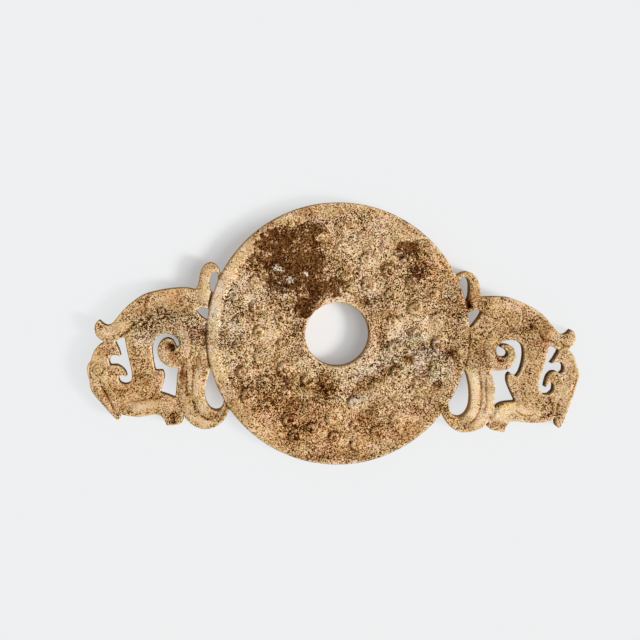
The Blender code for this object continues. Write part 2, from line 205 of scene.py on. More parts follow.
@dataclass
class Outline:
    """The plaque's closed outline loops at mid height, in millimetres, with the stone on their left."""

    disc: Disc
    slice_height: float = 3.01
    spacing: float = 0.4
    softness: float = 0.28
    wander: float = 0.07
    loops: list[np.ndarray] = field(default_factory=list)
    normals: list[np.ndarray] = field(default_factory=list)

    def read(self, node: bpy.types.Object) -> None:
        """Cuts the solid at mid height, then evens, softens and roughens each loop by given amounts."""
        noise = SmoothNoise(11)
        for raw in self.slice_loops(node):
            loop = self.rounded(self.even(raw))
            inward = self.inward(loop)
            dip = 0.5 + 0.35 * noise.at(loop[:, 0], loop[:, 1], 2.6) + 0.15 * noise.at(*loop.T, 0.9)
            loop = loop + inward * (self.wander * dip)[:, None]
            self.loops.append(loop)
            self.normals.append(self.inward(loop))
        LOG.info("outline: %d loops, %d points", len(self.loops), sum(map(len, self.loops)))

    def slice_loops(self, node: bpy.types.Object) -> list[np.ndarray]:
        """The loops where the solid's surface crosses the slice height.

        Each crossing triangle has one edge that goes up through the slice and one that comes down. The
        piece of outline in it runs from its down edge to its up edge, which is the neighbour's down edge,
        so every piece has one follower. Loops are then ordered by doubling each jump until it wraps.
        """
        mesh = node.data
        mesh.calc_loop_triangles()
        places = np.empty(len(mesh.vertices) * 3)
        mesh.vertices.foreach_get("co", places)
        corners = np.empty(len(mesh.loop_triangles) * 3, np.int32)
        mesh.loop_triangles.foreach_get("vertices", corners)
        merged, same = np.unique(np.round(places.reshape(-1, 3) / MM, 4), axis=0, return_inverse=True)
        triangles = same.reshape(-1)[corners].reshape(-1, 3)
        above = merged[triangles, 2] > self.slice_height
        triangles = triangles[above.any(1) & ~above.all(1)]
        above = merged[triangles, 2] > self.slice_height
        after = np.roll(above, -1, axis=1)
        following = np.roll(triangles, -1, axis=1)
        rows = np.arange(len(triangles))
        down = (above & ~after).argmax(1)
        up = (~above & after).argmax(1)

        def edge_key(side: np.ndarray) -> np.ndarray:
            """One number for the edge, the same from both of its triangles."""
            first, second = triangles[rows, side], following[rows, side]
            return np.minimum(first, second).astype(np.int64) * len(merged) + np.maximum(first, second)

        start_key, end_key = edge_key(down), edge_key(up)
        high, low = merged[triangles[rows, down]], merged[following[rows, down]]
        share = (high[:, 2] - self.slice_height) / (high[:, 2] - low[:, 2])
        crossing = (high + (low - high) * share[:, None])[:, :2]
        order = np.argsort(start_key)
        follower = order[np.searchsorted(start_key[order], end_key)]
        return self.ordered(crossing, follower)

    @staticmethod
    def ordered(crossing: np.ndarray, follower: np.ndarray) -> list[np.ndarray]:
        """Puts each loop's points in order, by doubling jumps along the followers."""
        count = len(crossing)
        doublings = math.ceil(math.log2(count)) + 1
        label, jump = np.arange(count), follower.copy()
        for _ in range(doublings):
            label = np.minimum(label, label[jump])
            jump = jump[jump]
        head = label == np.arange(count)
        steps = np.where(head, 0, 1)
        jump = np.where(head, np.arange(count), follower)
        for _ in range(doublings):
            steps = steps + steps[jump]
            jump = jump[jump]
        return [
            crossing[members[np.argsort(-steps[members])]]
            for members in (np.flatnonzero(label == first) for first in np.unique(label))
            if len(members) > 8
        ]

    def even(self, loop: np.ndarray) -> np.ndarray:
        """The loop with evenly spaced points, softened by a Gaussian along its length."""
        closed = np.vstack([loop, loop[:1]])
        along = np.concatenate([[0.0], np.cumsum(np.hypot(*np.diff(closed, axis=0).T))])
        fine = int(along[-1] / 0.05)
        places = np.arange(fine) * along[-1] / fine
        dense = np.stack([np.interp(places, along, closed[:, k]) for k in (0, 1)], axis=1)
        frequency = np.fft.rfftfreq(fine, along[-1] / fine)
        keep = np.exp(-2.0 * (np.pi * frequency * self.softness) ** 2)
        soft = np.fft.irfft(np.fft.rfft(dense, axis=0) * keep[:, None], fine, axis=0)
        soft = np.vstack([soft, soft[:1]])
        count = max(12, round(along[-1] / self.spacing))
        picks = np.arange(count) * fine / count
        return np.stack([np.interp(picks, np.arange(fine + 1), soft[:, k]) for k in (0, 1)], axis=1)

    def rounded(self, loop: np.ndarray) -> np.ndarray:
        """Draws points that lie near the disc's edge or bore onto the true circle."""
        offset = loop - [self.disc.centre_x, 0.0]
        radius = np.hypot(*offset.T)
        target = radius.copy()
        for circle in (self.disc.radius, self.disc.bore_radius):
            near = 1.0 - smooth_step(0.08, 0.22, np.abs(radius - circle))
            target = target + (circle - radius) * near
        return loop + offset * (target / radius - 1.0)[:, None]

    @staticmethod
    def inward(loop: np.ndarray) -> np.ndarray:
        """Unit normals that point into the stone, which lies on each loop's left."""
        along = np.roll(loop, -1, axis=0) - np.roll(loop, 1, axis=0)
        turned = np.stack([-along[:, 1], along[:, 0]], axis=1)
        return turned / np.maximum(np.hypot(*turned.T), 1e-9)[:, None]

    def depth(self, points: np.ndarray, chunk: int = 1500) -> np.ndarray:
        """How far inside the stone each point lies: below 0 outside, by crossings of the loops."""
        start = np.vstack(self.loops).astype(np.float32)
        end = np.vstack([np.roll(loop, -1, axis=0) for loop in self.loops]).astype(np.float32)
        span = end - start
        scale = 1.0 / np.maximum((span**2).sum(1), 1e-9)
        slope = span[:, 0] / np.where(np.abs(span[:, 1]) < 1e-9, 1e-9, span[:, 1])
        depth = np.empty(len(points), np.float32)
        for first in range(0, len(points), chunk):
            part = points[first:first + chunk].astype(np.float32)
            x = part[:, 0:1] - start[:, 0]
            y = part[:, 1:2] - start[:, 1]
            share = np.clip((x * span[:, 0] + y * span[:, 1]) * scale, 0.0, 1.0)
            apart = (x - share * span[:, 0]) ** 2 + (y - share * span[:, 1]) ** 2
            crossed = ((y >= 0) != (y >= span[:, 1])) & (x < y * slope)
            inside = crossed.sum(1) % 2 == 1
            depth[first:first + chunk] = np.where(inside, 1.0, -1.0) * np.sqrt(apart.min(1))
        return depth.astype(float)


# ---------------------------------------------------------------------------------------------------------
# Patches
# ---------------------------------------------------------------------------------------------------------

@dataclass(frozen=True)
class Patch:
    """A soft oval patch: its middle, half sizes, turn in degrees and strength."""

    x: float
    y: float
    long: float
    wide: float
    strength: float = 1.0
    turn: float = 0.0

    def share(self, x: np.ndarray, y: np.ndarray) -> np.ndarray:
        """strength * exp(-q^1.5), where q is the squared distance over the half sizes."""
        c, s = math.cos(math.radians(self.turn)), math.sin(math.radians(self.turn))
        dx, dy = x - self.x, y - self.y
        q = ((dx * c + dy * s) / self.long) ** 2 + ((dy * c - dx * s) / self.wide) ** 2
        return self.strength * np.exp(-(q**1.5))


def spread(patches: list[Patch], x: np.ndarray, y: np.ndarray) -> np.ndarray:
    """All the patches laid over each other."""
    total = np.zeros(len(x))
    for patch in patches:
        total = screen(total, patch.share(x, y))
    return total


def patches(*marks: tuple[float, ...]) -> list[Patch]:
    """Patches from (x, y, long, wide, strength) or (x, y, long, wide, strength, turn)."""
    return [Patch(*mark) for mark in marks]


# ---------------------------------------------------------------------------------------------------------
# Carving
# ---------------------------------------------------------------------------------------------------------

class Cut(Enum):
    """What a stroke of the carver's tool leaves."""

    RIDGE = "ridge"
    GROOVE = "groove"


@dataclass(frozen=True)
class Stroke:
    """A carved line: its kind, half width, height or depth, and its (out, up) points."""

    cut: Cut
    half_width: float
    size: float
    points: Points


def ridge(half_width: float, size: float, *points: tuple[float, float]) -> Stroke:
    """A raised round band through the points."""
    return Stroke(Cut.RIDGE, half_width, size, list(points))


def groove(half_width: float, size: float, *points: tuple[float, float]) -> Stroke:
    """A cut line through the points."""
    return Stroke(Cut.GROOVE, half_width, size, list(points))


LEFT_STROKES = {
    "tail": ridge(1.7, 0.16, (40.6, 8.6), (40.5, 12.0), (40.2, 15.6), (39.6, 17.8), (38.4, 19.2)),
    "nape": ridge(0.65, 0.26, (54.6, 12.0), (56.1, 9.8), (56.6, 7.3), (56.4, 5.2)),
    "nape_line": groove(0.4, 0.16, (55.4, 12.6), (57.0, 10.2), (57.6, 7.4), (57.2, 5.0)),
    "crest": ridge(1.6, 0.2, (71.1, 0.9), (70.2, -0.7), (68.2, -0.7), (65.6, 0.9), (62.6, 2.9)),
    "crest_notch": groove(0.4, 0.4, (61.5, 3.3), (60.9, 2.0), (61.8, 1.3), (62.5, 0.3), (63.0, -0.4),
                          (64.3, -1.3), (65.5, -2.3)),
    "forehead": groove(0.35, 0.25, (66.6, -3.3), (67.8, -3.7), (69.5, -3.7)),
    "spiral": ridge(1.9, 0.13, (50.7, -3.4), (52.1, -4.8), (52.0, -6.6), (50.7, -8.3), (48.4, -8.9),
                    (46.3, -7.6), (45.3, -5.0), (45.7, -2.0), (47.0, 0.6), (49.6, 2.0)),
    "spiral_line": groove(0.42, 0.08, (46.5, 3.0), (44.6, 0.9), (43.8, -1.8), (43.7, -4.6), (44.2, -7.2),
                          (46.0, -9.6)),
    "spiral_inside": groove(0.42, 0.12, (50.6, -0.1), (48.6, -0.9), (47.4, -2.8), (47.2, -5.0), (48.4, -6.7),
                            (50.2, -6.6)),
    "haunch": ridge(3.0, 0.12, (48.4, 11.0), (51.6, 10.2), (55.0, 8.6)),
    "scroll": groove(0.36, 0.16, (42.7, 6.7), (44.2, 7.2), (44.6, 8.6), (45.4, 10.0), (46.8, 10.1),
                     (47.6, 8.9), (46.9, 7.6), (45.8, 7.6)),
    "shoulder": groove(0.42, 0.1, (49.4, 4.4), (52.4, 4.1), (55.2, 2.4), (56.8, -0.4)),
    "brow": groove(0.32, 0.26, (72.6, -9.1), (73.4, -10.2), (73.8, -12.4), (73.0, -14.6)),
    "jaw": ridge(0.9, 0.18, (69.6, -6.2), (69.2, -9.6), (69.0, -12.8), (70.2, -15.4)),
    "beak": ridge(1.0, 0.26, (71.8, -16.8), (70.4, -19.4), (68.6, -21.8), (66.8, -24.0)),
    "beak_line": groove(0.38, 0.26, (71.0, -15.4), (69.6, -17.6), (67.9, -20.6), (66.2, -24.3)),
    "cheek": groove(0.36, 0.12, (68.6, -15.4), (66.4, -17.2), (63.6, -17.8), (61.4, -16.8)),
    "leg": ridge(1.9, 0.2, (61.6, -23.4), (57.6, -22.8), (53.6, -21.6), (50.6, -21.8), (48.7, -24.6)),
    "leg_line": groove(0.4, 0.18, (63.6, -21.4), (60.2, -20.9), (56.6, -20.2), (54.0, -19.2)),
    "paw": ridge(0.8, 0.3, (52.5, -19.2), (50.0, -19.8), (48.6, -21.0), (48.1, -23.5)),
    "claws": groove(0.34, 0.3, (49.4, -23.6), (48.6, -25.6), (48.3, -27.8)),
    "outer_strand": ridge(1.8, 0.18, (46.0, -12.4), (46.1, -16.4), (45.6, -20.4), (43.6, -24.8),
                          (40.0, -27.0), (36.4, -26.2)),
    "valley": groove(0.45, 0.12, (42.9, -8.0), (43.3, -14.0), (43.2, -20.0), (41.4, -24.2), (38.0, -26.0),
                     (35.4, -25.0)),
    "inner_strand": ridge(1.7, 0.18, (41.2, -8.4), (41.6, -13.2), (41.6, -18.4), (40.4, -22.8),
                          (37.8, -25.0)),
    "lobe_line": groove(0.38, 0.04, (45.4, -9.8), (45.0, -13.6), (44.8, -18.2), (43.6, -22.4)),
    "cleft": groove(0.42, 0.8, (37.9, 12.2), (38.4, 9.8), (38.8, 7.2)),
}

RIGHT_STROKES = LEFT_STROKES | {
    "tail": ridge(1.6, 0.14, (40.4, 8.8), (40.4, 12.2), (40.2, 15.2), (39.4, 17.6)),
    "nape": ridge(1.0, 0.22, (51.4, 9.7), (54.0, 8.2), (54.7, 5.6), (53.6, 3.4)),
    "nape_line": groove(0.4, 0.2, (54.6, 9.0), (55.0, 7.2), (55.0, 5.4), (54.5, 4.0)),
    "crest": ridge(1.5, 0.18, (70.0, 0.9), (69.4, -0.6), (67.6, -0.9), (65.2, 0.6), (62.6, 2.6)),
    "crest_notch": groove(0.36, 0.26, (60.6, 3.2), (60.2, 1.6), (61.4, -0.1), (63.0, -0.5), (64.6, -1.0),
                          (65.6, -1.4)),
    "forehead": groove(0.32, 0.2, (66.4, -0.6), (67.8, -1.9), (69.4, -2.4)),
    "spiral": ridge(1.9, 0.12, (50.4, -3.2), (52.0, -4.4), (52.1, -6.4), (50.8, -8.1), (48.6, -8.6),
                    (46.4, -7.4), (45.4, -4.8), (45.7, -1.8), (47.0, 0.6), (49.6, 2.0)),
    "spiral_line": groove(0.3, 0.16, (47.0, 3.4), (45.6, 2.0), (44.3, 0.1), (43.6, -2.2), (43.6, -4.6),
                          (44.2, -7.0), (45.2, -8.8), (46.6, -9.8)),
    "scroll": groove(0.34, 0.34, (42.4, 7.6), (43.2, 7.3), (44.0, 6.9)),
    "shoulder": groove(0.38, 0.1, (48.6, 5.8), (50.6, 4.4), (51.2, 2.6), (53.4, 1.0)),
    "haunch": ridge(3.0, 0.1, (45.0, 10.4), (48.0, 10.0), (51.2, 8.8)),
    "brow": groove(0.34, 0.24, (72.0, -10.6), (72.0, -13.0), (70.9, -15.4), (69.0, -17.0)),
    "jaw": ridge(0.8, 0.2, (71.0, -13.2), (70.2, -15.4), (68.2, -16.2)),
    "beak": ridge(0.9, 0.22, (71.0, -16.8), (70.0, -19.6), (68.8, -22.6), (67.8, -24.8)),
    "beak_line": groove(0.36, 0.22, (67.9, -17.4), (66.8, -19.4), (66.4, -21.6), (66.3, -24.6)),
    "cheek": groove(0.34, 0.18, (63.2, -17.6), (64.4, -19.0), (65.4, -19.8)),
    "leg_line": groove(0.36, 0.2, (53.4, -21.6), (55.4, -23.1), (58.0, -23.4), (60.4, -22.6)),
    "paw": ridge(1.0, 0.28, (54.4, -20.4), (50.6, -20.6), (48.6, -22.2), (47.6, -25.0)),
    "claws": groove(0.34, 0.22, (51.6, -25.8), (50.8, -26.9), (50.4, -28.2)),
    "outer_strand": ridge(1.8, 0.18, (45.0, -10.6), (45.9, -14.4), (46.1, -18.6), (45.2, -23.0),
                          (42.6, -26.6), (39.0, -28.0)),
    "valley": groove(0.5, 0.14, (42.2, -8.4), (42.9, -13.0), (43.4, -18.0), (42.9, -22.0), (41.2, -25.2),
                     (38.0, -26.8)),
    "inner_strand": ridge(1.7, 0.2, (40.0, -9.6), (40.9, -14.0), (41.3, -18.4), (40.7, -22.4),
                          (38.6, -25.2), (35.6, -25.4)),
    "lobe_line": groove(0.34, 0.16, (44.2, -12.0), (44.6, -16.0), (44.8, -20.0), (43.8, -23.6)),
    "cleft": groove(0.5, 1.0, (37.9, 12.6), (38.3, 10.6), (38.9, 8.4)),
}


@dataclass
class CurlField:
    """The disc's grain curls: low domes, each with one comma-shaped groove that winds outwards."""

    disc: Disc
    dome_radius: float = 2.45
    dome_height: float = 0.78
    groove_start: float = 0.3
    groove_pitch: float = 1.6
    groove_head: float = 0.58
    groove_tail: float = 0.26
    groove_depth: float = 0.52
    moat_depth: float = 0.26
    worn_places: list[Patch] = field(default_factory=lambda: patches(
        (0, 29, 22, 8, 0.3),
        (20, -22, 13, 7, 0.3, 40),
        (-13, 18, 12, 10, 0.5),
        (-12, -5, 5, 4, 0.4),
    ))
    places: np.ndarray = field(init=False)
    starts: np.ndarray = field(init=False)
    wear: np.ndarray = field(init=False)
    reach: np.ndarray = field(init=False)

    def __post_init__(self) -> None:
        """Finds each curl's place, the angle its groove starts at, and how clear it still is."""
        self.places = self.disc.curl_places()
        draw = np.random.default_rng(23)
        # The grooves start towards the upper left, away from the lamps, so the dark groove heads and the
        # deepest moats, with their grime, paint shade on that side of each dome.
        self.starts = draw.normal(2.6, 0.9, len(self.places))
        self.wear = draw.uniform(0.65, 1.0, len(self.places))
        across, up = self.places[:, 0] - self.disc.centre_x, self.places[:, 1]
        self.wear *= 1.0 - spread(self.worn_places, across, up)
        self.reach = draw.uniform(0.84, 1.0, len(self.places)) * self.dome_radius

    def nearest(self, x: np.ndarray, y: np.ndarray) -> tuple[np.ndarray, np.ndarray, np.ndarray]:
        """Each point's nearest curl, and its distance and angle from that curl's centre."""
        apart = np.hypot(x[:, None] - self.places[:, 0], y[:, None] - self.places[:, 1])
        curl = apart.argmin(1)
        place = self.places[curl]
        angle = np.arctan2(y - place[:, 1], x - place[:, 0]) - self.starts[curl]
        return curl, apart[np.arange(len(x)), curl], angle

    def carve(self, x: np.ndarray, y: np.ndarray) -> tuple[np.ndarray, np.ndarray, np.ndarray]:
        """Height, grime and wear that the curls add.

        The dome is height * (1 - (r / R)^2.4), with an unsteady edge. The groove follows
        r = start + pitch * turns for one turn; its depth falls off as a Gaussian, and it gets narrower and
        shallower from its head to its tail. A shallow moat rings the dome, deepest where the groove starts.
        The grime of the groove and the moat is dirt in the cuts and also painted shade: it is strongest where
        the grooves start, on the side of each dome away from the lamps.
        """
        curl, r, angle = self.nearest(x, y)
        worn = self.wear[curl]
        reach = self.reach[curl] * (1.0 + 0.16 * SmoothNoise(37).at(x, y, 1.9))
        dome = np.clip(1.0 - (r / reach) ** 2.4, 0.0, 1.0)
        turns = (angle / (2 * np.pi)) % 1.0
        off = r - (self.groove_start + self.groove_pitch * turns)
        half = self.groove_head + (self.groove_tail - self.groove_head) * turns
        line = np.exp(-((off / half) ** 2)) * (1.0 - 0.55 * turns) * (1.0 - smooth_step(0.86, 1.0, turns))
        line = np.maximum(line, 0.8 * np.exp(-((r / 0.7) ** 2)))
        moat = np.exp(-(((r - reach - 0.1) / 0.5) ** 2)) * (0.5 + 0.5 * np.cos(angle)) * (0.3 + 0.7 * worn)
        height = worn * (self.dome_height * dome - self.groove_depth * line) - self.moat_depth * moat
        grime = np.clip(1.0 * worn * line + 0.8 * moat, 0.0, 1.0)
        wear = worn * dome * (1.0 - line)
        return height, grime, wear


@dataclass
class Beast:
    """One crested beast's carving, beside the disc."""

    name: str
    side: int
    centre_x: float
    strokes: dict[str, Stroke]
    eye: tuple[float, float]
    eye_strength: float
    pits: list[tuple[float, float, float, float]]

    def local(self, x: np.ndarray, y: np.ndarray) -> np.ndarray:
        """Places as (out, up): out runs away from the disc."""
        return np.stack([self.side * (x - self.centre_x), y], axis=1)

    def carve(self, x: np.ndarray, y: np.ndarray) -> tuple[np.ndarray, np.ndarray, np.ndarray]:
        """Height, grime and wear that the strokes, the eye and the pits add.

        A ridge is size * (1 - (d / w)^2)^1.5 over its half width, and a groove is a Gaussian; both taper
        to nothing at their ends.
        """
        here = self.local(x, y)
        height, grime, wear = np.zeros(len(x)), np.zeros(len(x)), np.zeros(len(x))
        for stroke in self.strokes.values():
            path = smooth_curve(stroke.points)
            low, high = path.min(0) - 3.2, path.max(0) + 3.2
            near = np.flatnonzero(((here > low) & (here < high)).all(1))
            if not len(near):
                continue
            apart, along = nearest_on_path(here[near], path)
            taper = smooth_step(-0.02, 0.14, along) * smooth_step(-0.02, 0.14, 1.0 - along)
            if stroke.cut is Cut.RIDGE:
                shape = np.clip(1.0 - (apart / stroke.half_width) ** 2, 0.0, 1.0) ** 1.3 * taper
                height[near] = np.maximum(height[near], stroke.size * shape)
                wear[near] = np.maximum(wear[near], shape)
            else:
                shape = np.exp(-((apart / stroke.half_width) ** 2)) * taper
                height[near] -= stroke.size * shape
                grime[near] = np.maximum(grime[near], shape * min(1.0, 0.5 + stroke.size))
        self.cut_eye(here, height, grime)
        for out, up, radius, depth in self.pits:
            r = np.hypot(here[:, 0] - out, here[:, 1] - up) / radius
            bowl = np.exp(-(r**4))
            height -= depth * bowl
            grime[:] = np.maximum(grime, bowl * min(1.0, depth * 2))
        return height, grime, wear * (1.0 - grime)

    def cut_eye(self, here: np.ndarray, height: np.ndarray, grime: np.ndarray) -> None:
        """A round eye: a boss inside a cut ring, with a dot at its middle. Changes both arrays."""
        r = np.hypot((here[:, 0] - self.eye[0]) * 1.08, here[:, 1] - self.eye[1])
        ring = np.exp(-(((r - 1.65) / 0.3) ** 2))
        dot = np.exp(-(((r - 0.62) / 0.26) ** 2))
        boss = np.clip(1.0 - (r / 1.6) ** 2, 0.0, 1.0)
        height += self.eye_strength * (0.34 * boss - 0.26 * ring - 0.2 * dot)
        grime[:] = np.maximum(grime, self.eye_strength * np.maximum(ring * 0.8, dot))


# ---------------------------------------------------------------------------------------------------------
# Weathering
# ---------------------------------------------------------------------------------------------------------

@dataclass
class Weathering:
    """Where centuries in the ground have marked the front, with some painted light and shade among the marks:
    measures from the disc's centre, in mm.
    """

    burial_stain: list[Patch] = field(default_factory=lambda: patches(
        (-18, 25, 8, 7, 1, 30),  # the great stain's upper half
        (-11, 18, 8, 5, 1, -30),  # its lower half
        (-18, 15, 4, 3, 0.9),  # its ragged west side
        (-9, 24, 6, 5, 0.8),  # and east side
        (-10, 9, 4, 5, 1, 20),  # the tongue that reaches the bore
        (-10, 31, 7, 2.5, 0.7, 15),  # thin along the top rim
        (-2, 13.5, 5, 3, 0.85),  # and along the top of the bore
        (20, 26, 5, 3, 1, 25),  # red-brown streaks at the upper right
        (24, 20, 3, 3.5, 0.75),
        (34, -5, 2, 1.5, 0.8, 40),  # two small solid spots by the right rim
        (30, -14, 1.8, 1.3, 0.7),
    ))
    spots: list[Patch] = field(default_factory=lambda: patches(
        (-14, -14, 6, 3, 0.8),  # mottling below the bore
        (-4, -16, 3.5, 4, 0.9),
        (10, -14, 10, 2.5, 0.75, 35),  # a dark streak that climbs to the right
        (25, -12, 5, 3.5, 0.7),
        (27, -3, 3, 2, 0.7),
        (-15, -22, 5, 3.5, 0.6),
        (9, -25, 3, 4, 0.7),
        (-4, -29, 18, 7, 0.3),  # a thin soiling of the lower third
        (0, -37, 16, 2.2, 0.7),  # along the low rim
        (13, 0, 1.5, 6, 0.8),  # round the right of the bore
        (7, 10, 5, 1.8, 0.9, -30),
        (36, -9, 1.4, 8, 0.8, 15),  # painted shade: a dark strip by the right rim, where the right beast joins
        (-28, 13, 3, 2, 0.6),
    ))
    beast_spots: list[Patch] = field(default_factory=lambda: patches(
        (-46, -14, 1.5, 6, 1, 6),  # the dark strip down the left lobe
        (-41, -10, 3, 5, 0.8),
        (-48, -8, 3, 2, 0.9),  # under the left spiral
        (-59, -14, 4, 2.5, 0.7),
        (-57, 3, 3, 2, 0.7),
        (-48, -25, 1.5, 2, 0.7),  # the left paw
        (57, 4, 2.5, 2.5, 0.7),  # behind the right crest
        (39, 9, 1.2, 2.5, 0.7),  # the root of the right tail
        (49, -7, 3, 2, 0.6),
    ))
    pallor: list[Patch] = field(default_factory=lambda: patches(
        (2, 26, 5, 9, 0.6),  # the paler field beside the stain
        (-28, -14, 4, 7, 0.5, 20),
        (31, -11, 3, 3, 0.8),
        (-49.7, -4.3, 1.3, 1.2, -4),  # the left spiral's dark eye
        (21, -7, 1.8, 1.6, -4),  # a round brown spot
        (34, -5, 2, 1.2, -3.5, 35),
        (27.5, -3.5, 1.6, 1, -4),
    ))
    ochre: list[Patch] = field(default_factory=lambda: patches(
        (-4, -29, 26, 9, 0.8),  # the warm lower third
        (-17, -21, 11, 7, 0.5, -25),
        (27, 22, 10, 6, 0.7, -50),
        (25, -25, 9, 5, 0.6, 45),
        (6, 37, 24, 2.5, 0.45),
        (-60, -17, 13, 6, 0.6, -12),  # the left jaw
        (-51, 11, 5, 2.5, 0.6, -8),  # the left shoulder
        (47, 8, 6, 4, 0.5),
        (39, 13, 3, 5, 0.6),
        (-10, 24.5, 1.8, 1.8, 0.9),  # two golden flecks in the stain
        (-10.5, 11.5, 2, 2, 0.9),
        (21, -7, 2, 1.8, 0.7),
    ))
    cream: list[Patch] = field(default_factory=lambda: patches(
        (-37, 5, 2.5, 14, 1),  # the pale left rim
        (-30, 22, 6, 2, 0.8, 47),
        (-25, -13, 6, 3, 0.7, -15),
        (0, 25, 4, 7, 0.5),
        (2, 38, 14, 1.2, 0.6),
        (10.5, 1, 0.8, 7, 0.8),  # the bore's right lip
        (14, -32, 9, 2, 0.7, 28),
        (32, -10, 3, 2, 0.9),
        (42, -18, 3.5, 10, 0.85),  # the right lobe
        (54, -23, 9, 3, 0.85, 5),  # the right leg
        (69, -14, 3, 8, 0.7),  # the right beak
        (56, -8, 22, 18, 0.3),
        (-43.5, -17.5, 1.2, 5, 0.9),  # the left lobe's pale strand
        (-40, -26.5, 5.5, 1.6, 0.8, -10),
        (-60, -21, 8, 1.6, 0.8, -5),
        (-71.5, -9, 2.5, 5, 0.7),
    ))
    olive: list[Patch] = field(default_factory=lambda: patches(
        (-34, 4, 8, 12, 0.75),
        (-20, 13, 9, 6, 0.5),
        (22, -5, 14, 6.5, 0.85),
        (9, -11, 7, 4, 0.6, 30),
        (27, -11, 8, 6, 0.6),
        (9, 11, 8, 4, 0.6, -30),
        (5, 24, 8, 6, 0.4),
        (-50, 1, 13, 6.5, 1),  # the left flank
        (43, -10, 5, 8, 0.5),
        (56, 1, 8, 4, 0.4),
    ))
    lit_wall_bands: list[Patch] = field(default_factory=lambda: patches(
        (35.5, -25.5, 2, 0.7, 0.6, -10),  # painted light: ochre bands on the right lobe's edges, where the lit walls show
        (40, -17, 0.5, 5.5, 0.6, 2),
        (50.5, -20.5, 3.5, 0.5, 0.7, 8),
    ))
    crust: list[Patch] = field(default_factory=lambda: patches(
        (6, -19.5, 3.4, 1.8, 0.55, 20),  # white crumbs below the bore
        (-18.5, 19.5, 1.8, 1, 0.7, -10),  # and in the stain
        (-10, 18, 1.4, 0.6, 0.8, -35),
        (-15, 16, 2, 1.1, 0.5, 10),
        (-16.5, 11, 0.6, 1.5, 0.8, -25),
        (27, -5, 3, 3, 0.4),
    ))

    def front(self, x: np.ndarray, y: np.ndarray) -> Fields:
        """The fields that the front's weather marks give, at places measured from the disc's centre."""
        noise = SmoothNoise(5)
        wx = x + 1.3 * noise.fractal(x, y, 4.2) + 0.5 * noise.at(x, y, 1.1)
        wy = y + 1.3 * noise.fractal(x + 60.0, y, 4.2) + 0.5 * noise.at(x, y + 60.0, 1.1)
        stain = spread(self.burial_stain, wx, wy)
        spots = screen(spread(self.spots, wx, wy), spread(self.beast_spots, wx, wy))
        return {
            "stain": stain,
            "spots": spots,
            "pallor": sum(patch.share(wx, wy) for patch in self.pallor),
            "ochre": spread(self.ochre, wx, wy),
            "cream": spread(self.cream, wx, wy),
            "olive": spread(self.olive, wx, wy),
            "crust": spread(self.crust, x + 0.3 * (wx - x), y + 0.3 * (wy - y)),
        }

    def back(self, x: np.ndarray, y: np.ndarray) -> Fields:
        """The same fields on the back, where broad soft noises stand for marks that nothing fixes."""
        noise = SmoothNoise(71)
        broad = noise.fractal(x, y, 26.0, 4)
        mid = noise.fractal(x + 90.0, y, 11.0, 4)
        return {
            "stain": 0.9 * smooth_step(0.22, 0.6, broad),
            "spots": 0.8 * smooth_step(0.1, 0.55, mid),
            "pallor": 0.5 * broad,
            "ochre": 0.8 * smooth_step(-0.1, 0.5, noise.fractal(x, y + 90.0, 22.0)),
            "cream": 0.7 * smooth_step(0.0, 0.5, noise.fractal(x, y - 90.0, 18.0)),
            "olive": 0.5 * smooth_step(0.0, 0.5, -mid),
            "crust": 0.5 * smooth_step(0.5, 0.7, noise.fractal(x - 90.0, y, 6.0, 4)),
        }


# ---------------------------------------------------------------------------------------------------------
# The stone's skin
# ---------------------------------------------------------------------------------------------------------

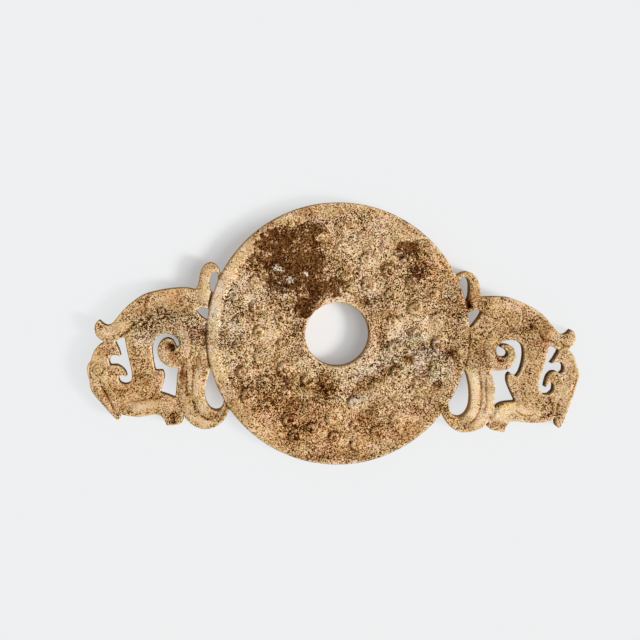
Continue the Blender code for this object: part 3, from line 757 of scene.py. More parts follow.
@dataclass
class Plaque:
    """The whole plaque as one closed skin: a front, a back and the wall between them, in millimetres."""

    disc: Disc
    outline: Outline
    curls: CurlField
    beasts: list[Beast]
    weathering: Weathering
    rim_top: float = 5.95
    field_top: float = 5.18
    beast_top: float = 5.46
    inner_rise: float = 0.4
    mid_height: float = 3.0
    edge_round: float = 0.62
    beast_round: float = 0.34
    beast_fall: float = 0.06
    back_relief: float = 0.4
    wall_rings: int = 6
    curl_spacing: float = 0.27
    field_spacing: float = 0.5
    beast_spacing: float = 0.33
    back_spacing: float = 0.8

    def build(self) -> bpy.types.Object:
        """Makes the skin's mesh object, with its fields as attributes."""
        front, front_triangles = self.sheet(self.front_lattices(), (0.12, 0.3, 0.6), True)
        back, back_triangles = self.sheet([self.lattice(self.back_spacing)], (0.18, 0.55), False)
        wall, wall_quads = self.wall(front, back)
        parts = [front, back, wall]
        places = np.vstack([np.stack([part["x"], part["y"], part["z"]], axis=1) for part in parts])
        places[:, 0] += self.disc.drift(places[:, 0], places[:, 1])
        faces = [
            front_triangles,
            back_triangles[:, ::-1] + len(front["x"]),
            self.split_quads(wall_quads),
        ]
        triangles = np.vstack(faces)
        mesh = self.mesh(places, triangles)
        for name in sorted(set(front) - {"x", "y", "z"}):
            values = np.concatenate([part[name] for part in parts]).astype(np.float32)
            mesh.attributes.new(name, "FLOAT", "POINT").data.foreach_set("value", values)
        plaque = bpy.data.objects.new("plaque_surface", mesh)
        bpy.context.scene.collection.objects.link(plaque)
        corner = places[triangles]
        volume = np.einsum("ij,ij->i", corner[:, 0], np.cross(corner[:, 1], corner[:, 2])).sum() / 6000.0
        LOG.info("plaque_surface: %d triangles, %.2f cubic centimetres", len(triangles), volume)
        return plaque

    @staticmethod
    def mesh(places: np.ndarray, triangles: np.ndarray) -> bpy.types.Mesh:
        """A smooth-shaded mesh from places in millimetres and triangles."""
        mesh = bpy.data.meshes.new("plaque_surface")
        mesh.vertices.add(len(places))
        mesh.vertices.foreach_set("co", (places * MM).astype(np.float32).ravel())
        mesh.loops.add(triangles.size)
        mesh.loops.foreach_set("vertex_index", triangles.astype(np.int32).ravel())
        mesh.polygons.add(len(triangles))
        mesh.polygons.foreach_set("loop_start", np.arange(0, triangles.size, 3, dtype=np.int32))
        mesh.polygons.foreach_set("use_smooth", np.ones(len(triangles), bool))
        mesh.update(calc_edges=True)
        mesh.validate()
        return mesh

    def lattice(self, spacing: float) -> np.ndarray:
        """A triangular grid of points over the plaque's box."""
        every = np.vstack(self.outline.loops)
        low, high = every.min(0), every.max(0)
        row, step = np.mgrid[0:int((high[1] - low[1]) / (spacing * 0.866)) + 1,
                             0:int((high[0] - low[0]) / spacing) + 1]
        jitter = np.random.default_rng(3).uniform(-0.12, 0.12, (2, *row.shape)) * spacing
        x = low[0] + (step + 0.5 * (row % 2)) * spacing + jitter[0]
        y = low[1] + row * spacing * 0.866 + jitter[1]
        return np.stack([x.ravel(), y.ravel()], axis=1)

    def front_lattices(self) -> list[np.ndarray]:
        """Points over the front: closest on the curls, close on the beasts, and wider in between."""
        fine = self.lattice(self.curl_spacing)
        coarse = self.lattice(self.field_spacing)
        beast = self.lattice(self.beast_spacing)
        lattices = []
        for points, wanted in ((fine, "curl"), (coarse, "field"), (beast, "beast")):
            r, _ = self.disc.polar(*points.T)
            on_disc = r < self.disc.radius - 0.25
            near_curl = np.zeros(len(points), bool)
            reach = on_disc & (r > self.disc.bore_radius)
            _, apart, _ = self.curls.nearest(*points[reach].T)
            near_curl[reach] = apart < self.curls.dome_radius - 0.05
            keep = {"curl": near_curl, "field": on_disc & ~near_curl, "beast": ~on_disc}[wanted]
            lattices.append(points[keep])
        return lattices

    def sheet(self, lattices: list[np.ndarray], insets: tuple[float, ...],
              is_front: bool) -> tuple[Fields, np.ndarray]:
        """One face of the plaque, as fields at its points and as triangles.

        The outline's points come first, in order, so the wall can share them. Rows of points set in from
        the outline carry the rounded edge, and a grid fills the rest. The triangles are a constrained
        Delaunay triangulation, from which those outside the stone are dropped.

        Args:
            lattices: grids of points to fill the face with.
            insets: how far the rows of the rounded edge stand in from the outline.
            is_front: True for the carved front, False for the back.

        Returns:
            The fields, which hold x, y and z too, and (count, 3) triangles that face up.
        """
        edges = np.vstack(self.outline.loops)
        rows = [
            loop + normal * inset
            for inset in insets
            for loop, normal in zip(self.outline.loops, self.outline.normals)
        ]
        row_insets = np.concatenate([np.full(len(edges), inset) for inset in insets])
        inner = np.vstack(rows)
        depth = self.outline.depth(inner)
        kept = depth > row_insets * 0.93
        inner, inner_depth = inner[kept], depth[kept]
        seam, seam_depth = self.seam_points()
        fill = np.vstack(lattices)
        fill_depth = self.fill_depth(fill)
        clear = fill_depth > insets[-1] + 0.55 * self.outline.spacing
        points = np.vstack([edges, inner, seam, fill[clear]])
        depths = np.concatenate([np.zeros(len(edges)), inner_depth, seam_depth, fill_depth[clear]])
        triangles = self.triangulate(points, len(edges))
        shape = self.front if is_front else self.back
        fields = shape(points[:, 0], points[:, 1], depths)
        LOG.info("%s: %d points", "front" if is_front else "back", len(points))
        return fields, triangles

    def fill_depth(self, points: np.ndarray) -> np.ndarray:
        """Depth inside the stone: by formula well inside the disc, and from the outline elsewhere."""
        r, _ = self.disc.polar(*points.T)
        depth = np.minimum(self.disc.radius - r, r - self.disc.bore_radius)
        unsure = (r > self.disc.radius - 1.6) & (r > 1.0)
        depth[unsure] = self.outline.depth(points[unsure])
        return depth

    def seam_points(self) -> tuple[np.ndarray, np.ndarray]:
        """Rows of points along the disc's edge where the beasts join it, which keep that step sharp."""
        count = int(2 * np.pi * self.disc.radius / self.outline.spacing)
        angle = np.arange(count) * 2 * np.pi / count
        shifts = np.array([-0.55, -0.22, -0.06, 0.06, 0.3])[:, None]
        radius = self.disc.radius + shifts
        x = self.disc.centre_x + radius * np.cos(angle)
        y = radius * np.sin(angle)
        points = np.stack([x.ravel(), y.ravel()], axis=1)
        depth = self.outline.depth(points)
        kept = depth > 0.85
        return points[kept], depth[kept]

    def triangulate(self, points: np.ndarray, edge_count: int) -> np.ndarray:
        """Delaunay triangles that keep the outline's edges, without those outside the stone."""
        edges = np.stack([np.arange(edge_count), self.next_points()], axis=1)
        corners = [Vector(point) for point in points.tolist()]
        places, _, faces, *_ = delaunay_2d_cdt(corners, edges.tolist(), [], 0, 1e-6)
        if len(places) != len(points):
            raise RuntimeError("the outline's points merged or crossed")
        triangles = np.array(faces)
        centres = points[triangles].mean(1)
        unsure = (triangles < edge_count).all(1)
        inside = np.ones(len(triangles), bool)
        inside[unsure] = self.outline.depth(centres[unsure]) > 0
        return triangles[inside]

    def next_points(self) -> np.ndarray:
        """The number of each outline point's follower on its own loop."""
        sizes = [len(loop) for loop in self.outline.loops]
        starts = np.concatenate([[0], np.cumsum(sizes)[:-1]])
        return np.concatenate([start + np.roll(np.arange(size), -1) for start, size in zip(starts, sizes)])

    @staticmethod
    def rounding(depth: np.ndarray, radius: np.ndarray | float) -> np.ndarray:
        """How far a quarter-round edge falls at a depth inside it: r - sqrt(r^2 - (r - d)^2)."""
        left = np.clip(radius - depth, 0.0, None)
        return radius - np.sqrt(np.maximum(radius**2 - left**2, 0.0))

    def disc_height(self, x: np.ndarray, y: np.ndarray, depth: np.ndarray,
                    relief: float) -> tuple[np.ndarray, np.ndarray, np.ndarray]:
        """Height, grime and wear of the disc: raised rims, worn on +X, a sunk field and curls."""
        noise = SmoothNoise(29)
        r, angle = self.disc.polar(x, y)
        kept = self.disc.rim_clearness(angle)
        waver = 0.28 * noise.fractal(x, y, 5.0, 2)
        outer = self.disc.radius - self.disc.outer_rim + waver
        inner = self.disc.bore_radius + self.disc.inner_rim + 0.5 * waver
        outer_band = smooth_step(-1.0, 0.0, r - outer)
        inner_band = 1.0 - smooth_step(-0.6, 1.6, r - inner)
        foot = np.exp(-(((r - outer + 1.1) / 0.42) ** 2))
        broken = (0.62 + 0.38 * noise.fractal(x + 40.0, y, 7.0, 3)) * kept**2
        lift, grime, wear = self.curls.carve(x, y)
        in_field = 1.0 - np.maximum(outer_band, inner_band)
        rim_rise = (self.rim_top - self.field_top) * (0.86 + 0.14 * noise.fractal(x, y + 40.0, 9.0, 2))
        risen = self.field_top + rim_rise * (kept * outer_band + self.inner_rise * inner_band)
        height = risen + relief * lift * in_field - 0.08 * foot * broken
        edge = np.minimum(np.minimum(self.disc.radius - r, r - self.disc.bore_radius), depth)
        height = height - self.rounding(np.maximum(edge, 0.0), self.edge_round)
        grime = np.clip(relief * grime * in_field + 0.75 * foot * broken, 0.0, 1.0)
        rim_wear = 0.6 * kept * outer_band * (1.0 - 0.5 * foot) + 0.15 * inner_band
        return height, grime, np.maximum(relief * wear * in_field, rim_wear)

    def beast_height(self, x: np.ndarray, y: np.ndarray, depth: np.ndarray,
                     relief: float) -> tuple[np.ndarray, np.ndarray, np.ndarray]:
        """Height, grime and wear of the beasts: a softly domed plate, and the carver's strokes."""
        r, _ = self.disc.polar(x, y)
        lift, grime, wear = np.zeros(len(x)), np.zeros(len(x)), np.zeros(len(x))
        for beast in self.beasts:
            here = np.flatnonzero(beast.side * (x - self.disc.centre_x) > 30.0)
            lift[here], grime[here], wear[here] = beast.carve(x[here], y[here])
        seam = np.exp(-(((r - self.disc.radius - 0.12) / 0.32) ** 2))
        fall = self.beast_fall * (1.0 - smooth_step(0.0, 2.6, depth))
        height = self.beast_top + relief * lift - fall - 0.2 * seam
        height = height - self.rounding(depth, self.beast_round)
        grime = np.maximum(relief * grime, 0.85 * seam)
        return height, grime, relief * wear

    def face(self, x: np.ndarray, y: np.ndarray, depth: np.ndarray,
             relief: float) -> tuple[np.ndarray, np.ndarray, np.ndarray]:
        """Height, grime and wear over the whole face: the disc stands over the beasts at its edge."""
        r, _ = self.disc.polar(x, y)
        disc, disc_grime, disc_wear = self.disc_height(x, y, depth, relief)
        beast, beast_grime, beast_wear = self.beast_height(x, y, depth, relief)
        on_disc = (r < self.disc.radius) & ((disc > beast) | (r < self.disc.radius - 1.2))
        height = np.where(on_disc, disc, beast)
        grime = np.where(on_disc, disc_grime, beast_grime)
        wear = np.where(on_disc, disc_wear, beast_wear)
        return height, grime, np.maximum(wear, np.exp(-(((depth - 0.35) / 0.4) ** 2)))

    def corroded(self, x: np.ndarray, y: np.ndarray, fields: Fields, seed: int) -> np.ndarray:
        """The small rises and pits of stone that lay in the ground, deeper where it is stained."""
        noise = SmoothNoise(seed)
        soft = 0.035 * noise.fractal(x, y, 3.0, 3)
        pitted = smooth_step(0.35, 0.85, noise.fractal(x + 31.0, y, 1.5, 2))
        weak = np.clip(0.25 + fields["stain"] + fields["spots"] + fields["grime"], 0.0, 1.0)
        return soft - 0.14 * pitted * weak

    def calm(self, x: np.ndarray, y: np.ndarray, fields: Fields) -> np.ndarray:
        """Where the stone is smooth and its grain faint: the beasts, the outer rim and the cream zones."""
        r, angle = self.disc.polar(x, y)
        rim_start = self.disc.radius - self.disc.outer_rim
        rim = 0.45 * self.disc.rim_clearness(angle) * smooth_step(-0.6, 0.4, r - rim_start)
        beasts = 0.36 * smooth_step(0.0, 0.4, r - self.disc.radius)
        return np.clip(np.maximum(rim, beasts) + 0.6 * fields["cream"], 0.0, 1.0)

    def surface(self, x: np.ndarray, y: np.ndarray, depth: np.ndarray, marks: Fields, relief: float,
                seed: int) -> tuple[np.ndarray, Fields]:
        """A face's height, and its fields of dirt, wear, calm and the given weather marks."""
        height, grime, wear = self.face(x, y, depth, relief)
        fields = {"grime": grime, "wear": wear, **marks}
        height = height + self.corroded(x, y, fields, seed)
        return height, {"calm": self.calm(x, y, fields), **fields}

    def front(self, x: np.ndarray, y: np.ndarray, depth: np.ndarray) -> Fields:
        """The carved front's fields."""
        across = x - self.disc.centre_x
        height, fields = self.surface(x, y, depth, self.weathering.front(across, y), 1.0, 41)
        r, _ = self.disc.polar(x, y)
        # Painted light: a thin ochre rim round the beasts and the bore, and the lit bands, take the walls'
        # lit colour.
        edge = 0.2 * np.exp(-((depth / 0.3) ** 2)) * ((r > self.disc.radius) | (r < 20.0))
        lit_wall_bands = spread(self.weathering.lit_wall_bands, across, y)
        return {"x": x, "y": y, "z": height, "wall": screen(edge, lit_wall_bands), **fields}

    def back(self, x: np.ndarray, y: np.ndarray, depth: np.ndarray) -> Fields:
        """The back's fields: the same carving, worn low, and its own weather marks."""
        height, fields = self.surface(x, y, depth, self.weathering.back(x, y), self.back_relief, 43)
        return {"x": x, "y": y, "z": 2 * self.mid_height - height, "wall": np.zeros(len(x)), **fields}

    def wall(self, front: Fields, back: Fields) -> tuple[Fields, np.ndarray]:
        """Rings of points between the front's and the back's edges, and the quads that join them.

        Returns:
            The rings' fields, and (count, 4) quads that number the front, then the back, then the rings.
        """
        loops = np.vstack(self.outline.loops)
        normals = np.vstack(self.outline.normals)
        count = len(loops)
        noise = SmoothNoise(53)
        rings = self.wall_rings - 1
        share = (np.arange(1, rings + 1) / self.wall_rings)[:, None]
        z = front["z"][:count] * (1 - share) + back["z"][:count] * share
        along = np.arange(count)[None, :] * self.outline.spacing + np.zeros_like(z)
        cut = 0.05 + 0.05 * noise.at(along, z * 2.2, 1.7)
        hollow = cut * (share * (1 - share) * 4) ** 0.5
        x = loops[:, 0] + normals[:, 0] * hollow
        y = loops[:, 1] + normals[:, 1] * hollow
        fields = {"x": x.ravel(), "y": y.ravel(), "z": z.ravel()}
        for name in [name for name in front if name not in ("x", "y", "z", "wall")]:
            fields[name] = (front[name][:count] * (1 - share) + back[name][:count] * share).ravel()
        bared = np.minimum(1.0, 3.0 * np.minimum(share, 1 - share))
        fields["wall"] = np.broadcast_to(bared, z.shape).ravel()
        fields["wear"] = 0.2 * fields["wear"]
        first_ring = len(front["x"]) + len(back["x"])
        levels = np.vstack([
            np.arange(count)[None],
            first_ring + np.arange(rings * count).reshape(rings, count),
            (len(front["x"]) + np.arange(count))[None],
        ])
        after = self.next_points()
        upper, lower = levels[:-1], levels[1:]
        quads = np.stack([upper, lower, lower[:, after], upper[:, after]], axis=-1)
        return fields, quads.reshape(-1, 4)

    @staticmethod
    def split_quads(quads: np.ndarray) -> np.ndarray:
        """Each quad as two triangles."""
        return np.vstack([quads[:, [0, 1, 2]], quads[:, [0, 2, 3]]])


# ---------------------------------------------------------------------------------------------------------
# Node graphs
# ---------------------------------------------------------------------------------------------------------

def linear(red: float, green: float, blue: float) -> tuple[float, float, float, float]:
    """A display colour, 0 to 1, as the linear colour with alpha that sockets take."""
    def straight(value: float) -> float:
        """One channel, by the display curve."""
        return value / 12.92 if value <= 0.04045 else ((value + 0.055) / 1.055) ** 2.4
    return straight(red), straight(green), straight(blue), 1.0


class Graph:
    """A node tree, with short ways to add nodes and join them."""

    def __init__(self, tree: bpy.types.NodeTree) -> None:
        """Takes an empty tree."""
        self.tree = tree

    def node(self, kind: str, **settings: object) -> bpy.types.Node:
        """Adds a node and sets its properties."""
        made = self.tree.nodes.new(kind)
        for name, value in settings.items():
            setattr(made, name, value)
        return made

    def feed(self, socket: Socket, value: object) -> None:
        """Joins a socket to another, or sets its value."""
        if isinstance(value, Socket):
            self.tree.links.new(value, socket)
        else:
            socket.default_value = value

    def math(self, operation: str, first: object, second: object = 0.0) -> Socket:
        """A Math node's result."""
        made = self.node("ShaderNodeMath", operation=operation)
        self.feed(made.inputs[0], first)
        self.feed(made.inputs[1], second)
        return made.outputs[0]

    def vector(self, operation: str, first: object, second: object) -> Socket:
        """A Vector Math node's result."""
        made = self.node("ShaderNodeVectorMath", operation=operation)
        self.feed(made.inputs[0], first)
        self.feed(made.inputs[1], second)
        return made.outputs["Vector"]

    def step(self, value: object, low: object, high: object, start: float = 0.0,
             end: float = 1.0) -> Socket:
        """A smooth step from start to end as value goes from low to high."""
        made = self.node("ShaderNodeMapRange", interpolation_type="SMOOTHSTEP")
        names = ("Value", "From Min", "From Max", "To Min", "To Max")
        for name, given in zip(names, (value, low, high, start, end)):
            self.feed(made.inputs[name], given)
        return made.outputs["Result"]

    def mix(self, share: object, first: object, second: object, blend: str = "MIX") -> Socket:
        """Two colours mixed."""
        made = self.node("ShaderNodeMix", data_type="RGBA", blend_type=blend)
        self.feed(made.inputs["Factor"], share)
        self.feed(made.inputs[6], first)
        self.feed(made.inputs[7], second)
        return made.outputs[2]

    def blend(self, share: object, first: object, second: object) -> Socket:
        """Two values mixed."""
        made = self.node("ShaderNodeMix", data_type="FLOAT")
        self.feed(made.inputs[0], share)
        self.feed(made.inputs[2], first)
        self.feed(made.inputs[3], second)
        return made.outputs[0]

    def noise(self, place: object, scale: float, detail: float = 2.0, roughness: float = 0.5) -> Socket:
        """A noise from 0 to 1."""
        made = self.node("ShaderNodeTexNoise")
        self.feed(made.inputs["Vector"], place)
        self.feed(made.inputs["Scale"], scale)
        self.feed(made.inputs["Detail"], detail)
        self.feed(made.inputs["Roughness"], roughness)
        return made.outputs["Fac"]

    def attribute(self, name: str) -> Socket:
        """A field of the mesh."""
        return self.node("ShaderNodeAttribute", attribute_name=name).outputs["Fac"]

    def use(self, group: bpy.types.NodeTree, **inputs: object) -> bpy.types.Node:
        """Places a node group, with its inputs set by name (a word's underscores stand for spaces)."""
        made = self.node("ShaderNodeGroup", node_tree=group)
        for name, value in inputs.items():
            self.feed(made.inputs[name.replace("_", " ")], value)
        return made


def new_group(name: str, inputs: dict[str, str],
              outputs: dict[str, str]) -> tuple[bpy.types.NodeTree, dict, dict]:
    """An empty shader node group.

    Args:
        name: the group's name.
        inputs: socket kinds by name, such as {"Place": "NodeSocketVector"}.
        outputs: the same for what it puts out.

    Returns:
        The group, its inputs' sockets by name, and its outputs' sockets by name.
    """
    group = bpy.data.node_groups.new(name, "ShaderNodeTree")
    for direction, sockets in (("INPUT", inputs), ("OUTPUT", outputs)):
        for socket, kind in sockets.items():
            group.interface.new_socket(socket, in_out=direction, socket_type=kind)
    taken = group.nodes.new("NodeGroupInput")
    given = group.nodes.new("NodeGroupOutput")
    return group, {s: taken.outputs[s] for s in inputs}, {s: given.inputs[s] for s in outputs}


def ragged_group() -> bpy.types.NodeTree:
    """A soft field turned into a patch with a ragged, grainy edge."""
    group, taken, given = new_group(
        "ragged_patch",
        {"Place": "NodeSocketVector", "Field": "NodeSocketFloat", "Size": "NodeSocketFloat",
         "Raggedness": "NodeSocketFloat", "Softness": "NodeSocketFloat"},
        {"Mask": "NodeSocketFloat"},
    )
    graph = Graph(group)
    noise = graph.noise(taken["Place"], graph.math("DIVIDE", 1.0, taken["Size"]), 4.0, 0.72)
    off = graph.math("MULTIPLY", graph.math("SUBTRACT", noise, 0.5), taken["Raggedness"])
    half = graph.math("MULTIPLY", taken["Softness"], 0.5)
    low, high = graph.math("SUBTRACT", 0.47, half), graph.math("ADD", 0.47, half)
    graph.feed(given["Mask"], graph.step(graph.math("ADD", taken["Field"], off), low, high))
    return group


def speckle_group() -> bpy.types.NodeTree:
    """Fine specks that cover a given share of the surface."""
    group, taken, given = new_group(
        "speckle",
        {"Place": "NodeSocketVector", "Size": "NodeSocketFloat", "Cover": "NodeSocketFloat",
         "Softness": "NodeSocketFloat"},
        {"Mask": "NodeSocketFloat"},
    )
    graph = Graph(group)
    noise = graph.noise(taken["Place"], graph.math("DIVIDE", 1.0, taken["Size"]), 1.0, 0.6)
    low = graph.step(taken["Cover"], 0.0, 1.0, 0.74, 0.36)
    graph.feed(given["Mask"], graph.step(noise, low, graph.math("ADD", low, taken["Softness"])))
    return group


def crack_group() -> bpy.types.NodeTree:
    """Short thin cracks: a noise's mid-level lines, kept only where a second noise lets them show."""
    group, taken, given = new_group(
        "fine_cracks",
        {"Place": "NodeSocketVector", "Size": "NodeSocketFloat", "Cover": "NodeSocketFloat"},
        {"Mask": "NodeSocketFloat"},
    )
    graph = Graph(group)
    winding = graph.noise(taken["Place"], graph.math("DIVIDE", 1.0, taken["Size"]), 2.0, 0.6)
    apart = graph.math("ABSOLUTE", graph.math("SUBTRACT", winding, 0.5))
    line = graph.step(apart, 0.0, 0.05, 1.0, 0.0)
    parted = graph.noise(taken["Place"], graph.math("DIVIDE", 0.9, taken["Size"]), 1.0, 0.6)
    low = graph.step(taken["Cover"], 0.0, 1.0, 0.7, 0.36)
    gate = graph.step(parted, low, graph.math("ADD", low, 0.06))
    graph.feed(given["Mask"], graph.math("MULTIPLY", line, gate))
    return group


# The stone's grains, coarse to fine: size in mm and weight
GRAINS = ((9.0, 0.36), (3.6, 0.26), (1.7, 0.22), (0.95, 0.3), (0.55, 0.66), (0.33, 1.5))


def grain_group() -> bpy.types.NodeTree:
    """The stone's mottling about 0: several sizes of grain, stronger in some places, with a dark bias."""
    group, taken, given = new_group(
        "stone_grain",
        {"Place": "NodeSocketVector", "Strength": "NodeSocketFloat"},
        {"Tone": "NodeSocketFloat"},
    )
    graph = Graph(group)
    total: Socket | float = 0.0
    for size, weight in GRAINS:
        noise = graph.noise(taken["Place"], 1.0 / size, 0.0, 0.5)
        total = graph.math("ADD", total, graph.math("MULTIPLY", graph.math("SUBTRACT", noise, 0.5), weight))
    swell = graph.step(graph.noise(taken["Place"], 1 / 5.0, 1.0, 0.5), 0.3, 0.7, 0.72, 1.28)
    total = graph.math("MULTIPLY", total, swell)
    biased = graph.math("SUBTRACT", total, graph.math("MULTIPLY", total, total))
    graph.feed(given["Tone"], graph.math("MULTIPLY", biased, taken["Strength"]))
    return group


def hue_group() -> bpy.types.NodeTree:
    """A tint about white that drifts between greenish, reddish and grey, in blotches of every size."""
    group, taken, given = new_group(
        "hue_drift",
        {"Place": "NodeSocketVector", "Strength": "NodeSocketVector"},
        {"Tint": "NodeSocketColor"},
    )
    graph = Graph(group)
    blotch = graph.node("ShaderNodeTexNoise")
    for name, value in (("Vector", taken["Place"]), ("Scale", 1 / 4.0), ("Detail", 3.0), ("Roughness", 0.8)):
        graph.feed(blotch.inputs[name], value)
    centred = graph.vector("SUBTRACT", blotch.outputs["Color"], (0.5, 0.5, 0.5))
    scaled = graph.vector("MULTIPLY", centred, taken["Strength"])
    graph.feed(given["Tint"], graph.vector("ADD", scaled, (1.0, 1.0, 1.0)))
    return group


# ---------------------------------------------------------------------------------------------------------
# Finishes
# ---------------------------------------------------------------------------------------------------------

FIELD_NAMES = (
    "grime", "wear", "stain", "spots", "pallor", "ochre", "cream", "olive", "crust", "wall", "calm",
)


@dataclass(frozen=True)
class JadeFinish:
    """Weathered jade: one run of tones from soil brown to cream, which zones, stains and grain move along."""

    tones: tuple[tuple[float, Colour], ...] = (
        (0.08, (0.21, 0.09, 0.01)), (0.26, (0.41, 0.25, 0.1)), (0.36, (0.52, 0.345, 0.165)),
        (0.455, (0.62, 0.45, 0.27)), (0.555, (0.72, 0.56, 0.375)), (0.65, (0.80, 0.66, 0.48)),
        (0.735, (0.87, 0.74, 0.57)), (0.84, (0.95, 0.84, 0.69)),
    )
    light: float = 1.187
    sheen: float = 0.003
    base_tone: float = 0.582
    cloud_size: float = 8.0
    cloud_tone: float = 0.06
    zone_tones: tuple[tuple[str, float, float], ...] = (
        ("ochre", 2.4, -0.05), ("cream", 2.0, 0.10), ("olive", 2.2, -0.03),
    )
    grain_strength: float = 1.0
    pallor_tone: float = 0.085
    hue_strength: Colour = (0.42, 0.34, 0.85)
    stain_tone: float = 0.195
    stain_grain: float = 0.8
    soil_tone: float = -0.2
    groove_tone: float = -0.23
    worn_tone: float = 0.11
    crack_tone: float = -0.2
    speck_tone: float = -0.19
    flecks: tuple[tuple[float, float, float, float], ...] = (
        (2.2, 0.34, 0.12, 0.09), (1.0, 0.36, 0.08, 0.17), (0.5, 0.38, 0.05, 0.24),
    )
    stain_tint: Colour = (0.99, 1.05, 1.25)
    ochre_tint: Colour = (1.05, 0.965, 0.88)
    olive_tint: Colour = (0.93, 1.01, 1.16)
    crust: Colour = (0.89, 0.815, 0.71)
    # Painted shade and light on the walls: a stained brown that is darker towards the foot, and a lit ochre
    # under the top edge.
    wall_foot_stain_and_shade: Colour = (0.66, 0.46, 0.22)
    head_wall_foot_stain_and_shade: Colour = (0.3, 0.15, 0.04)
    lit_wall_top: Colour = (1.0, 0.8, 0.4)
    roughness: float = 0.62
    specular: float = 0.06
    bump_distance: float = 0.12 * MM

    def stone(self, colour: Colour) -> tuple[float, float, float, float]:
        """The stone's own linear colour, from how it looks under the studio's light and sheen."""
        *channels, alpha = linear(*colour)
        return *(max(0.0, channel - self.sheen) / self.light for channel in channels), alpha

    def material(self) -> bpy.types.Material:
        """Builds the stone's material."""
        made = bpy.data.materials.new("weathered_jade")
        made.use_nodes = True
        made.node_tree.nodes.clear()
        graph = Graph(made.node_tree)
        mapping = graph.node("ShaderNodeMapping")
        mapping.inputs["Scale"].default_value = (1 / MM, 1 / MM, 1 / MM)
        graph.feed(mapping.inputs["Vector"], graph.node("ShaderNodeTexCoord").outputs["Object"])
        fields = {
            name: graph.attribute(name)
            for name in FIELD_NAMES
        }
        colour, height = self.layers(graph, mapping.outputs["Vector"], fields)
        shader = graph.node("ShaderNodeBsdfPrincipled")
        graph.feed(shader.inputs["Base Color"], colour)
        shader.inputs["Specular IOR Level"].default_value = self.specular
        polish = graph.math("MULTIPLY", fields["wear"], -0.14)
        graph.feed(shader.inputs["Roughness"], graph.math("ADD", polish, self.roughness + 0.06))
        bump = graph.node("ShaderNodeBump")
        bump.inputs["Distance"].default_value = self.bump_distance
        graph.feed(bump.inputs["Height"], height)
        graph.feed(shader.inputs["Normal"], bump.outputs["Normal"])
        output = graph.node("ShaderNodeOutputMaterial")
        graph.feed(output.inputs["Surface"], shader.outputs["BSDF"])
        return made

    def ramp(self, graph: Graph, tone: Socket) -> Socket:
        """The run of tones as a colour ramp."""
        made = graph.node("ShaderNodeValToRGB")
        stops = made.color_ramp.elements
        for number, (place, colour) in enumerate(self.tones):
            stop = stops[number] if number < 2 else stops.new(place)
            stop.position = place
            stop.color = self.stone(colour)
        graph.feed(made.inputs["Fac"], tone)
        return made.outputs["Color"]

    def layers(self, graph: Graph, place: Socket,
               fields: dict[str, Socket]) -> tuple[Socket, Socket]:
        """The stone's colour and fine height.

        A tone starts at the base, is moved by the zones, the grain, dirt, stains, pits and flecks, and picks
        the colour from the run of tones.
        """
        ragged, speckle, cracks = ragged_group(), speckle_group(), crack_group()

        def patch(field: Socket, size: float, raggedness: float,
                  softness: float = 0.5) -> Socket:
            """The field's ragged mask."""
            return graph.use(
                ragged, Place=place, Field=field, Size=size, Raggedness=raggedness, Softness=softness,
            ).outputs["Mask"]

        def moved(tone: object, mask: Socket, amount: float) -> Socket:
            """The tone moved by an amount where the mask is."""
            return graph.math("ADD", tone, graph.math("MULTIPLY", mask, amount))

        shift = graph.node("ShaderNodeMapping")
        shift.inputs["Location"].default_value = (31.7, 12.9, 4.1)
        graph.feed(shift.inputs["Vector"], place)
        shifted = shift.outputs["Vector"]
        calm = fields["calm"]

        masks = {name: patch(fields[name], size, 0.9) for name, size, _ in self.zone_tones}
        cloud = graph.noise(place, 1 / self.cloud_size, 3.0, 0.6)
        darkest, palest = self.base_tone - self.cloud_tone, self.base_tone + self.cloud_tone
        tone = graph.step(cloud, 0.3, 0.7, darkest, palest)
        for name, _, amount in self.zone_tones:
            tone = moved(tone, masks[name], amount)
        strength = graph.step(calm, 0.0, 1.0, self.grain_strength, self.grain_strength * 0.4)
        strength = graph.math("MULTIPLY", strength, graph.step(fields["wear"], 0.0, 1.0, 1.0, 0.72))
        strength = graph.math("MULTIPLY", strength, graph.step(masks["olive"], 0.0, 1.0, 1.0, 1.22))
        mottle = graph.use(grain_group(), Place=place, Strength=strength).outputs["Tone"]
        tone = graph.math("ADD", tone, mottle)

        # Dirt lies in the cuts and the spots, and worn tops stay clean; on the curls this darkening is also
        # painted shade on the side away from the lamps
        tone = moved(tone, fields["wear"], self.worn_tone)
        tone = moved(tone, patch(fields["grime"], 0.8, 1.1), self.groove_tone)
        soil = graph.math("MULTIPLY", fields["grime"], 0.35)
        soil = moved(soil, fields["spots"], 0.85)
        soil = moved(soil, fields["wear"], -0.18)
        soil = moved(soil, fields["cream"], -0.18)
        soiled = patch(soil, 0.85, 2.3, 0.3)
        tone = moved(tone, soiled, self.soil_tone)
        cover = moved(moved(0.13, soil, 0.5), calm, -0.06)
        cracked = graph.use(cracks, Place=shifted, Size=1.5, Cover=cover).outputs["Mask"]
        specks = graph.use(speckle, Place=shifted, Size=0.7, Cover=cover, Softness=0.06).outputs["Mask"]
        tone = moved(tone, cracked, self.crack_tone)
        tone = moved(tone, specks, self.speck_tone)

        # The burial stain covers what lies under it, but for pale flecks
        held = moved(moved(fields["stain"], fields["cream"], -0.45), fields["ochre"], -0.25)
        stain = patch(graph.math("MULTIPLY", held, 1.2), 1.15, 2.5, 0.26)
        dark = moved(self.stain_tone, mottle, self.stain_grain)
        cluster = graph.step(graph.noise(place, 1 / 3.2, 1.0, 0.6), 0.42, 0.62, -0.14, 0.2)
        for size, cover, softness, amount in self.flecks:
            bared = graph.math("ADD", moved(cover, fields["cream"], 0.3), cluster)
            mask = graph.use(speckle, Place=place, Size=size, Cover=bared, Softness=softness).outputs["Mask"]
            dark = moved(dark, mask, amount)
        tone = graph.blend(stain, tone, dark)
        tone = moved(tone, fields["pallor"], self.pallor_tone)

